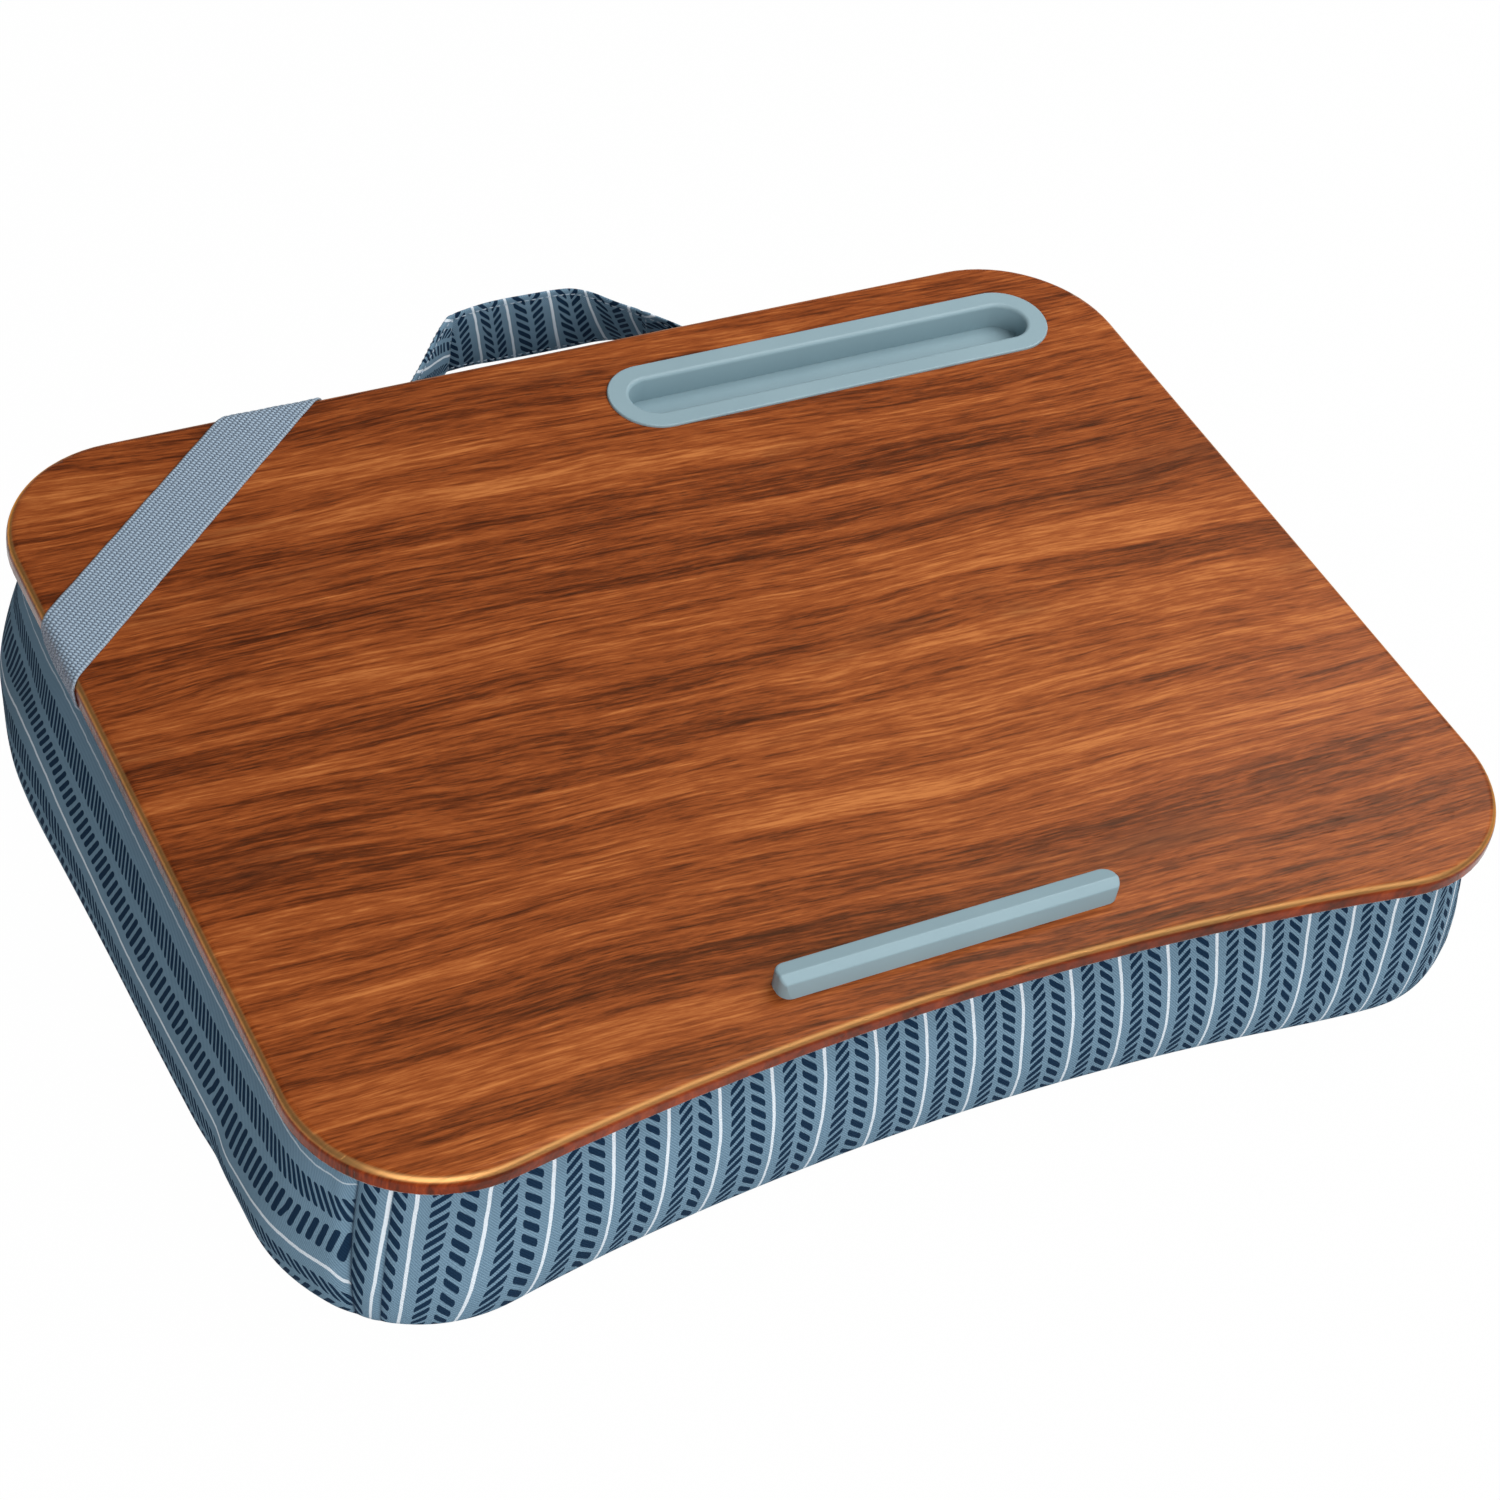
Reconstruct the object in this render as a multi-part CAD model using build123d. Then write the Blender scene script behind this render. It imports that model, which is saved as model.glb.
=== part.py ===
"""Lap desk: a foil-wrapped board on a bead-filled cushion, with a phone tray,
a device ledge, an elastic corner strap and a cloth carry handle.

Millimetres. The origin lies on the surface that the cushion rests on, under the
middle of the board. +X is the user's right, +Y is away from the user, +Z is up.
"""
from build123d import *
from math import asin, atan2, ceil, cos, degrees, pi, radians, sin, sqrt, tan
import os

# ---------------------------------------------------------------- driving sizes
# Board
BOARD_WIDTH = 452.0          # 17.8 in
BOARD_DEPTH = 351.5          # 13.8 in, from the back edge to the front lobes
BOARD_THICKNESS = 8.0
BOARD_CORNER_R = 50.0
FRONT_RECESS = 14.0          # how far the belly cut-in goes back at the middle
EDGE_TOP_R = 3.5
EDGE_BOTTOM_R = 1.2
FOIL_THICKNESS = 0.6         # wood-grain foil, wrapped over the top and the edge
FOIL_TURN_UNDER = 6.0        # width of the foil that is folded under the board

# Cushion
CUSHION_HEIGHT = 58.0        # rest face to board underside
PANEL_WALL = 1.2             # printed cloth with its backing
HEM_INSET = 9.0              # board edge to the top of the cloth wall
SEAM_HEIGHT = 3.0            # rest face to the bottom seam
REST_INSET = 14.0            # bottom seam to the part that lies flat
FILL_GAP = 0.3               # fill to cloth
LINING_THICKNESS = 0.8
LINING_LAP = 4.0             # sewn lap of the lining under the cloth flange

# Hem, stapled to the board through a card strip
STRIP_THICKNESS = 2.2        # room for the strap's tails and their staples
STRIP_WIDTH = 12.0
STRIP_GAP = 0.3              # strip to cloth wall, and strip end to strap
STAPLE_CROWN = 10.0
STAPLE_WIRE = 0.7
STAPLE_LEG = 6.0
STAPLE_PITCH = 62.0

# Phone tray
TRAY_FROM_RIGHT = 121.5      # right edge of the board to the middle of the slot
TRAY_FROM_BACK = 37.75       # back edge of the board to the middle of the slot
SLOT_LENGTH = 173.6
SLOT_WIDTH = 19.5
SLOT_DEPTH = 10.0            # board top to tray floor
TRAY_WALL = 1.8
TRAY_FLOOR = 1.6
FLANGE_END = 8.5             # flange past the slot's ends
FLANGE_SIDE = 8.4            # flange past the slot's sides
FLANGE_THICKNESS = 1.0
FLANGE_EDGE_R = 0.6
SLOT_LIP_R = 1.6
TRAY_FIT = 0.3               # tray wall to the hole in the board
TRAY_POCKET = 1.5            # tray to the cushion around it
LUG_LENGTH = 9.0
LUG_PROUD = 0.8
LUG_HEIGHT = 2.4
LUG_PITCH = 56.0
LUGS_PER_SIDE = 3

# Device ledge
LEDGE_LENGTH = 128.0
LEDGE_DEPTH = 10.6
LEDGE_HEIGHT = 8.0           # at its ridge
LEDGE_BACK_HEIGHT = 6.4
LEDGE_RIDGE_BACK = 6.2       # back face to the ridge
LEDGE_FRONT_HEIGHT = 6.2
LEDGE_FRONT_TOP = 9.4        # back face to the top of the front face
LEDGE_FROM_FRONT = 14.95     # belly cut-in to the front of the ledge
LEDGE_CORNER_R = 4.4
LEDGE_EDGE_R = 1.0
LEDGE_WALL = 1.8
LEDGE_RIB = 1.2
LEDGE_RIBS = 4
SCREW_SPACING = 92.0
SCREW_D = 2.9
SCREW_LENGTH = 11.0
SCREW_HEAD_D = 6.4
SCREW_HEAD_HEIGHT = 2.0
SCREW_HEAD_R = 0.9
SCREW_TIP = 0.7              # chamfer at the screw's point
SCREW_RECESS_D = 7.4
SCREW_RECESS_DEPTH = 2.6
SCREW_HOLE_D = 3.4
DRIVE_D = 3.0
DRIVE_DEPTH = 1.1
DRIVE_SLOT = 0.7
BOSS_D = 6.0
BOSS_FIT = 0.05              # screw to the bore of its boss

# Elastic strap across the back left corner
STRAP_WIDTH = 25.4           # 1 in
STRAP_THICKNESS = 1.2
STRAP_GAP = 0.15             # strap to board
STRAP_FROM_LEFT = 114.0      # left edge of the board to its middle at the back
STRAP_FROM_BACK = 98.25      # back edge of the board to its middle at the left
STRAP_TAIL = 38.0            # length stapled under the board
STRAP_STAPLE_SPACING = 12.0
STRAP_STAPLE_END = 3.0       # end of a tail to the middle of its last staple

# Carry handle on the back panel
BAND_WIDTH = 32.0
BAND_THICKNESS = 3.0
BAND_LEAN = 14.0             # degrees that the grip leans outwards
GRIP_HALF = 27.0             # middle to the fold
ROOT_HALF = 56.0             # middle to where the band leaves the cushion
HANDLE_REACH = 33.0          # root to grip, outwards
ROOT_TOP_DROP = 4.0          # board underside to the top of the band at its root
WEBBING_WIDTH = 26.0
WEBBING_THICKNESS = 1.2
COVER_GAP = 0.1              # webbing to its cloth cover
FOOT_LENGTH = 20.0
FOOT_THICKNESS = 2.0
FOOT_LAP = 3.0               # foot past the root, on the inner side
FOOT_GAP = 0.15              # sewn foot to the back panel
SWING_GAP = 0.3              # moving band to the sewn foot
SWING_OUT = 3.0              # back edge of the board to the line that the handle swings on

# ------------------------------------------------------------- derived sizes
HALF_WIDTH = BOARD_WIDTH / 2
HALF_DEPTH = BOARD_DEPTH / 2
BOARD_BOTTOM = CUSHION_HEIGHT
BOARD_TOP = BOARD_BOTTOM + BOARD_THICKNESS
CORE_BOTTOM = BOARD_BOTTOM + FOIL_THICKNESS
CORE_TOP = BOARD_TOP - FOIL_THICKNESS
FLANGE_TOP = BOARD_BOTTOM - STRIP_THICKNESS      # top of the cloth flange
FLANGE_BOTTOM = FLANGE_TOP - PANEL_WALL
LINING_BOTTOM = FLANGE_BOTTOM - LINING_THICKNESS
FILL_TOP = LINING_BOTTOM - FILL_GAP
STRIP_OUTER = HEM_INSET + PANEL_WALL + STRIP_GAP  # board edge to the strip
STRIP_INNER = STRIP_OUTER + STRIP_WIDTH
STRIP_MIDDLE = (STRIP_OUTER + STRIP_INNER) / 2
SHIM = 20.0                                       # overshoot of cutting solids
TRAY_CENTRE_X = HALF_WIDTH - TRAY_FROM_RIGHT
TRAY_CENTRE_Y = HALF_DEPTH - TRAY_FROM_BACK
FLANGE_LENGTH = SLOT_LENGTH + 2 * FLANGE_END
FLANGE_WIDTH = SLOT_WIDTH + 2 * FLANGE_SIDE
LEDGE_BACK_Y = -HALF_DEPTH + FRONT_RECESS + LEDGE_FROM_FRONT + LEDGE_DEPTH
STRAP_BACK_X = -HALF_WIDTH + STRAP_FROM_LEFT
STRAP_LEFT_Y = HALF_DEPTH - STRAP_FROM_BACK

# Wall of the cushion: share of the way down to the seam, growth beyond the board
# edge, and how far the sides and the back bow out between the corners.
SEAM_DROP = CUSHION_HEIGHT - SEAM_HEIGHT
WALL_SECTIONS = (
    (0.00, -HEM_INSET, 0.0, 0.0),
    (0.25, -4.0, 2.5, 0.6),
    (0.52, 0.5, 5.0, 1.2),
    (0.78, 3.4, 6.5, 1.5),
    (1.00, 3.2, 5.0, 1.2),
)


# ------------------------------------------------------------- plan outlines
def plan(grow=0.0, side_bow=0.0, back_bow=0.0):
    """Outline of the board, grown by `grow`, with bowed sides and back if wanted."""
    half_w = HALF_WIDTH + grow
    half_d = HALF_DEPTH + grow
    corner = BOARD_CORNER_R + grow
    belly_r = ((half_w - corner) ** 2 + FRONT_RECESS ** 2) / (2 * FRONT_RECESS) - corner
    belly_y = -half_d + FRONT_RECESS
    tip_y = belly_y - belly_r + sqrt(belly_r ** 2 - half_w ** 2)
    back_left, back_right = (-half_w, half_d), (half_w, half_d)
    front_left, front_right = (-half_w, tip_y), (half_w, tip_y)
    front = ThreePointArc(front_left, (0, belly_y), front_right)
    if side_bow:
        right = ThreePointArc(front_right, (half_w + side_bow, 0), back_right)
        back = ThreePointArc(back_right, (0, half_d + back_bow), back_left)
        left = ThreePointArc(back_left, (-half_w - side_bow, 0), front_left)
    else:
        right = Line(front_right, back_right)
        back = Line(back_right, back_left)
        left = Line(back_left, front_left)
    sharp = make_face([front, right, back, left])
    return fillet(sharp.vertices(), corner)


def prism(face, z_low, z_high):
    """A plan face stood up between two levels."""
    return extrude(Pos(0, 0, z_low) * face, z_high - z_low)


def board_shape(grow=0.0):
    """The board's outer form with both its edge rounds, grown on every side."""
    slab = prism(plan(grow), BOARD_BOTTOM - grow, BOARD_TOP + grow)
    slab = fillet(slab.faces().sort_by(Axis.Z)[-1].edges(), EDGE_TOP_R + grow)
    return fillet(slab.faces().sort_by(Axis.Z)[0].edges(), EDGE_BOTTOM_R + grow)


def cushion_shape(inset=0.0):
    """The stuffed cushion's form, drawn in by `inset` on every side."""
    walls = [
        Pos(0, 0, CUSHION_HEIGHT - share * SEAM_DROP) * plan(grow - inset, *bows)
        for share, grow, *bows in WALL_SECTIONS
    ]
    _, seam_grow, *seam_bows = WALL_SECTIONS[-1]
    seam = Pos(0, 0, SEAM_HEIGHT) * plan(seam_grow - inset, *seam_bows)
    flat = Pos(0, 0, inset) * plan(seam_grow - inset - REST_INSET, *seam_bows)
    return loft(walls) + loft([seam, flat], ruled=True)


def slot_plan(length, width):
    """A straight slot with round ends, at the tray's place."""
    return Pos(TRAY_CENTRE_X, TRAY_CENTRE_Y) * SlotOverall(length, width)


# ------------------------------------------------------------------- board
def screw_axes():
    """Plan places of the ledge screws."""
    y = LEDGE_BACK_Y - LEDGE_DEPTH / 2
    return [(side * SCREW_SPACING / 2, y) for side in (-1, 1)]


def board_cutters():
    """Everything that is cut through the board: the tray hole and screw holes."""
    wall = 2 * (TRAY_WALL + TRAY_FIT)
    hole = slot_plan(SLOT_LENGTH + wall, SLOT_WIDTH + wall)
    cutters = prism(hole, BOARD_BOTTOM - SHIM, BOARD_TOP + SHIM)
    for x, y in screw_axes():
        cutters += prism(Pos(x, y) * Circle(SCREW_HOLE_D / 2), BOARD_BOTTOM - SHIM, BOARD_TOP + SHIM)
        cutters += prism(
            Pos(x, y) * Circle(SCREW_RECESS_D / 2), BOARD_BOTTOM - SHIM, BOARD_BOTTOM + SCREW_RECESS_DEPTH
        )
    return cutters


def board_pieces():
    """Fibreboard core, wrapped foil and the sheet that closes the underside."""
    core = prism(plan(-FOIL_THICKNESS), CORE_BOTTOM, CORE_TOP)
    core = fillet(core.faces().sort_by(Axis.Z)[-1].edges(), EDGE_TOP_R - FOIL_THICKNESS)
    core = fillet(core.faces().sort_by(Axis.Z)[0].edges(), EDGE_BOTTOM_R - FOIL_THICKNESS)
    backing = prism(plan(-FOIL_TURN_UNDER), BOARD_BOTTOM, CORE_BOTTOM)
    foil = board_shape() - core - backing
    cutters = board_cutters()
    return {
        "board_core": core - cutters,
        "wood_foil": foil - cutters,
        "backing_sheet": backing - cutters,
    }


# -------------------------------------------------------------- phone tray
def phone_tray():
    """Moulded tray: flange, wall, floor and the lugs that snap under the board."""
    floor_top = BOARD_TOP - SLOT_DEPTH
    bottom = floor_top - TRAY_FLOOR
    top = BOARD_TOP + FLANGE_THICKNESS
    flange = prism(slot_plan(FLANGE_LENGTH, FLANGE_WIDTH), BOARD_TOP, top)
    flange = fillet(flange.faces().sort_by(Axis.Z)[-1].edges(), FLANGE_EDGE_R)
    outer_length = SLOT_LENGTH + 2 * TRAY_WALL
    outer_width = SLOT_WIDTH + 2 * TRAY_WALL
    body = flange + prism(slot_plan(outer_length, outer_width), bottom, BOARD_TOP)
    body -= prism(slot_plan(SLOT_LENGTH, SLOT_WIDTH), floor_top, top + SHIM)
    rim = body.edges().group_by(Axis.Z)[-1]
    lip = rim.filter_by(lambda e: abs(e.center().Y - TRAY_CENTRE_Y) < (SLOT_WIDTH + FLANGE_SIDE) / 2)
    body = fillet(lip, SLOT_LIP_R)
    lug_top = BOARD_BOTTOM - STRAP_GAP
    lug_side = Polyline((0, 0), (LUG_PROUD, 0), (0, -LUG_HEIGHT), (0, 0))
    for side in (-1, 1):
        for index in range(LUGS_PER_SIDE):
            x = TRAY_CENTRE_X + (index - (LUGS_PER_SIDE - 1) / 2) * LUG_PITCH - side * LUG_LENGTH / 2
            y = TRAY_CENTRE_Y + side * (outer_width / 2)
            plane = Plane(origin=(x, y, lug_top), x_dir=(0, side, 0), z_dir=(side, 0, 0))
            body += extrude(plane * make_face(lug_side), LUG_LENGTH)
    return body


# ------------------------------------------------------------- device ledge
def ledge_profile(wall=0.0):
    """Side view of the ledge; Y runs forwards from its back face, Z up."""
    base = -wall * 2 if wall else 0.0
    points = (
        (wall, base),
        (wall, LEDGE_BACK_HEIGHT - wall),
        (LEDGE_RIDGE_BACK, LEDGE_HEIGHT - wall),
        (LEDGE_FRONT_TOP - wall * 0.8, LEDGE_FRONT_HEIGHT - wall * 0.6),
        (LEDGE_DEPTH - wall, base),
        (wall, base),
    )
    plane = Plane(origin=(0, LEDGE_BACK_Y, BOARD_TOP), x_dir=(0, -1, 0), z_dir=(-1, 0, 0))
    return plane * make_face(Polyline(*points))


def ledge_form(wall=0.0):
    """The ledge's form, or its hollow where `wall` is given."""
    length = LEDGE_LENGTH - 2 * wall
    depth = LEDGE_DEPTH - 2 * wall
    bar = extrude(ledge_profile(wall), length / 2, both=True)
    ends = Pos(0, LEDGE_BACK_Y - LEDGE_DEPTH / 2) * RectangleRounded(length, depth, LEDGE_CORNER_R - wall)
    return bar & prism(ends, BOARD_TOP - SHIM, BOARD_TOP + SHIM)


def device_ledge():
    """Hollow moulding with cross ribs and two screw bosses, open underneath."""
    form = ledge_form()
    upper = [e for e in form.edges() if e.center().Z > BOARD_TOP + LEDGE_HEIGHT / 3 and
             abs(e.tangent_at(0.5).Z) < 0.9]
    form = fillet(upper, LEDGE_EDGE_R)
    hollow = ledge_form(LEDGE_WALL)
    inside = Part() + hollow
    middle_y = LEDGE_BACK_Y - LEDGE_DEPTH / 2
    for index in range(LEDGE_RIBS):
        x = (index - (LEDGE_RIBS - 1) / 2) * SCREW_SPACING / LEDGE_RIBS
        inside -= Pos(x, middle_y, BOARD_TOP) * Box(LEDGE_RIB, LEDGE_DEPTH, 2 * LEDGE_HEIGHT)
    for x, y in screw_axes():
        inside -= prism(Pos(x, y) * Circle(BOSS_D / 2), BOARD_TOP - SHIM, BOARD_TOP + SHIM)
    ledge = form - inside
    bore_top = BOARD_BOTTOM + SCREW_RECESS_DEPTH + SCREW_LENGTH + BOSS_FIT
    for x, y in screw_axes():
        ledge -= prism(Pos(x, y) * Circle(SCREW_D / 2 + BOSS_FIT), BOARD_TOP - SHIM, bore_top)
    return ledge


def ledge_screws():
    """Two pan-head screws, driven up through the board into the ledge."""
    seat = BOARD_BOTTOM + SCREW_RECESS_DEPTH
    screws = []
    for x, y in screw_axes():
        shank = prism(Pos(x, y) * Circle(SCREW_D / 2), seat, seat + SCREW_LENGTH)
        tip = shank.faces().sort_by(Axis.Z)[-1].edges()
        shank = chamfer(tip, SCREW_TIP)
        head = prism(Pos(x, y) * Circle(SCREW_HEAD_D / 2), seat - SCREW_HEAD_HEIGHT, seat)
        head = fillet(head.faces().sort_by(Axis.Z)[0].edges(), SCREW_HEAD_R)
        cross = Rectangle(DRIVE_D, DRIVE_SLOT) + Rectangle(DRIVE_SLOT, DRIVE_D)
        low = seat - SCREW_HEAD_HEIGHT
        head -= prism(Pos(x, y) * cross, low - SHIM, low + DRIVE_DEPTH)
        screws.append(shank + head)
    return Compound(children=screws)


# ------------------------------------------------------------ elastic strap
STRAP_ANGLE = atan2(HALF_DEPTH - STRAP_LEFT_Y, HALF_WIDTH + STRAP_BACK_X)


def strap_run(start, heading, length, width):
    """A straight run of strap in plan, from its middle at `start`."""
    along = Vector(cos(heading), sin(heading))
    across = Vector(-sin(heading), cos(heading)) * (width / 2)
    start = Vector(*start)
    end = start + along * length
    corners = [start + across, end + across, end - across, start - across]
    return make_face(Polyline(*corners, corners[0]))


def strap_drop(middle, shift, width, along):
    """The run of strap down the edge: a slanted run on a vertical plane.

    `along` is the plan direction of the edge, `shift` what it moves while dropping.
    """
    high = BOARD_TOP - EDGE_TOP_R
    low = BOARD_BOTTOM + EDGE_BOTTOM_R
    normal = Vector(-along.Y, along.X)
    half = along * (width / 2)
    moved = along * shift
    points = [
        middle - half + Vector(0, 0, high),
        middle + half + Vector(0, 0, high),
        middle + half + moved + Vector(0, 0, low),
        middle - half + moved + Vector(0, 0, low),
    ]
    face = make_face(Polyline(*points, points[0]))
    reach = EDGE_TOP_R * 2
    return extrude(face, reach, dir=normal) + extrude(face, reach, dir=-normal)


def strap_envelope(extra=0.0):
    """Where the strap may be: a run over the top, two drops and two tails."""
    wide = STRAP_WIDTH + 2 * extra
    top_z = BOARD_TOP - EDGE_TOP_R
    low_z = BOARD_BOTTOM + EDGE_BOTTOM_R
    proud = STRAP_GAP + STRAP_THICKNESS
    back = Vector(STRAP_BACK_X + proud / tan(STRAP_ANGLE), HALF_DEPTH + proud)
    left = Vector(-HALF_WIDTH - proud, STRAP_LEFT_Y - proud * tan(STRAP_ANGLE))
    top_run = strap_run((left.X, left.Y), STRAP_ANGLE, (back - left).length, wide)
    ends = strap_run((left.X, left.Y), STRAP_ANGLE + pi, wide, wide)
    ends += strap_run((back.X, back.Y), STRAP_ANGLE, wide, wide)
    fall = top_z - low_z
    back_shift = fall / tan(STRAP_ANGLE)
    left_shift = fall * tan(STRAP_ANGLE)
    envelope = prism(top_run + ends, top_z, BOARD_TOP + SHIM)
    envelope += strap_drop(back, back_shift, wide / sin(STRAP_ANGLE), Vector(1, 0))
    envelope += strap_drop(left, left_shift, wide / cos(STRAP_ANGLE), Vector(0, -1))
    tail = STRAP_TAIL + 2 * extra
    for foot, heading in (
        (back + Vector(back_shift, 0), -STRAP_ANGLE),
        (left + Vector(0, -left_shift), -STRAP_ANGLE),
    ):
        start = foot - Vector(cos(heading), sin(heading)) * wide
        envelope += prism(
            strap_run((start.X, start.Y), heading, wide + tail, wide), BOARD_BOTTOM - SHIM, low_z
        )
    return envelope


def elastic_strap():
    """A woven band pulled tight over the corner, both ends under the board."""
    skin = board_shape(STRAP_GAP + STRAP_THICKNESS) - board_shape(STRAP_GAP)
    return skin & strap_envelope()


def strap_clearance():
    """Room for the strap's tails in the hem beside it."""
    layer = prism(plan(SHIM), FLANGE_TOP, BOARD_BOTTOM + STRIP_GAP)
    return layer & strap_envelope(STRIP_GAP)


# ----------------------------------------------------------------- cushion
def corner_cutters():
    """Plan wedges that divide the cushion's wall at its four corner seams."""
    far = BOARD_WIDTH
    cx = HALF_WIDTH - BOARD_CORNER_R
    cy = HALF_DEPTH - BOARD_CORNER_R
    wedges = {
        "front_panel": [(-cx, -cy), (cx, -cy), (cx + far, -cy - far), (-cx - far, -cy - far)],
        "right_panel": [(cx, -cy), (cx, cy), (cx + far, cy + far), (cx + far, -cy - far)],
        "back_panel": [(cx, cy), (-cx, cy), (-cx - far, cy + far), (cx + far, cy + far)],
        "left_panel": [(-cx, cy), (-cx, -cy), (-cx - far, -cy - far), (-cx - far, cy + far)],
    }
    return {
        name: prism(make_face(Polyline(*points, points[0])), -SHIM, BOARD_TOP)
        for name, points in wedges.items()
    }


def tray_pocket(z_low):
    """Room for the tray in whatever lies under it."""
    room = 2 * (TRAY_WALL + TRAY_POCKET)
    return prism(slot_plan(SLOT_LENGTH + room, SLOT_WIDTH + room), z_low, BOARD_TOP)


def cushion_pieces():
    """Four printed side panels, bottom panel, top lining, strips and fill."""
    outside = cushion_shape()
    inside = cushion_shape(PANEL_WALL)
    seam_level = prism(plan(SHIM), SEAM_HEIGHT, CUSHION_HEIGHT)
    below_seam = prism(plan(SHIM), -SHIM, SEAM_HEIGHT)
    shell = outside - inside
    flange = (outside & prism(plan(SHIM), FLANGE_BOTTOM, FLANGE_TOP)) - prism(
        plan(-STRIP_INNER), -SHIM, BOARD_TOP
    )
    wall = (shell & seam_level) + flange - strap_clearance()
    pieces = {name: wall & wedge for name, wedge in corner_cutters().items()}
    pieces["bottom_panel"] = shell & below_seam

    strip = prism(plan(-STRIP_OUTER) - plan(-STRIP_INNER), FLANGE_TOP, BOARD_BOTTOM)
    pieces["hem_strips"] = strip - strap_clearance()

    lining = prism(plan(LINING_LAP - STRIP_INNER), LINING_BOTTOM, FLANGE_BOTTOM)
    pieces["top_lining"] = lining - tray_pocket(0)

    pocket_floor = BOARD_TOP - SLOT_DEPTH - TRAY_FLOOR - TRAY_POCKET
    filling = cushion_shape(PANEL_WALL + FILL_GAP) & prism(plan(SHIM), -SHIM, FILL_TOP)
    pieces["bead_fill"] = filling - tray_pocket(pocket_floor)
    return pieces


# ----------------------------------------------------------------- staples
def staple():
    """One staple: its crown along X at Z=0, its legs up."""
    half = STAPLE_CROWN / 2
    crown = Pos(0, 0, -STAPLE_WIRE / 2) * Box(STAPLE_CROWN, STAPLE_WIRE, STAPLE_WIRE)
    leg = Box(STAPLE_WIRE, STAPLE_WIRE, STAPLE_LEG)
    x = half - STAPLE_WIRE / 2
    return crown + Pos(x, 0, STAPLE_LEG / 2) * leg + Pos(-x, 0, STAPLE_LEG / 2) * leg


def hem_staples():
    """Staples through the cloth flange and card strip, all round the hem."""
    track = plan(-STRIP_MIDDLE).wires()[0]
    count = ceil(track.length / STAPLE_PITCH)
    keep_out = strap_envelope(STAPLE_CROWN)
    placed = []
    for index in range(count):
        share = (index + 0.5) / count
        point = track @ share
        along = track % share
        if keep_out.is_inside(Vector(point.X, point.Y, FLANGE_TOP)):
            continue
        turn = degrees(atan2(along.Y, along.X))
        placed.append(Pos(point.X, point.Y, FLANGE_BOTTOM) * Rot(0, 0, turn) * staple())
    return Compound(children=placed)


def strap_staples():
    """Two staples across each tail of the strap."""
    proud = STRAP_GAP + STRAP_THICKNESS
    fall = BOARD_THICKNESS - EDGE_TOP_R - EDGE_BOTTOM_R
    back = Vector(STRAP_BACK_X + (proud + fall) / tan(STRAP_ANGLE), HALF_DEPTH + proud)
    left = Vector(-HALF_WIDTH - proud, STRAP_LEFT_Y - (proud + fall) * tan(STRAP_ANGLE))
    along = Vector(cos(STRAP_ANGLE), -sin(STRAP_ANGLE))
    across = degrees(atan2(along.X, -along.Y))
    placed = []
    for foot in (back, left):
        for row in (0, 1):
            spot = foot + along * (STRAP_TAIL - STRAP_STAPLE_END - row * STRAP_STAPLE_SPACING)
            level = BOARD_BOTTOM - proud
            placed.append(Pos(spot.X, spot.Y, level) * Rot(0, 0, across) * staple())
    return Compound(children=placed)


# ------------------------------------------------------------------ handle
BAND_MIDDLE_Z = BOARD_BOTTOM - ROOT_TOP_DROP - BAND_WIDTH / 2
FOLD_TURN = atan2(HANDLE_REACH, ROOT_HALF - GRIP_HALF)


def handle_feet():
    """The ends of the band, folded out flat and sewn on the back panel."""
    skin = cushion_shape(-FOOT_GAP - FOOT_THICKNESS) - cushion_shape(-FOOT_GAP)
    length = FOOT_LENGTH + FOOT_LAP
    feet = {}
    for side, name in ((-1, "handle_foot_left"), (1, "handle_foot_right")):
        place = Pos(side * (ROOT_HALF + FOOT_LENGTH - length / 2), HALF_DEPTH, BAND_MIDDLE_Z)
        feet[name] = skin & place * Box(length, 2 * SHIM, BAND_WIDTH)
    return feet


def band_section(centre, facing, lean, width, thickness):
    """Cross-section of the band: upright, `lean` outwards at its top."""
    up = Vector(0, sin(lean), cos(lean))
    out = Vector(cos(facing), sin(facing), 0)
    half_up = up * (width / 2)
    half_out = out * (thickness / 2)
    centre = Vector(*centre)
    corners = [
        centre - half_out - half_up,
        centre + half_out - half_up,
        centre + half_out + half_up,
        centre - half_out + half_up,
    ]
    return make_face(Polyline(*corners, corners[0]))


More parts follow.
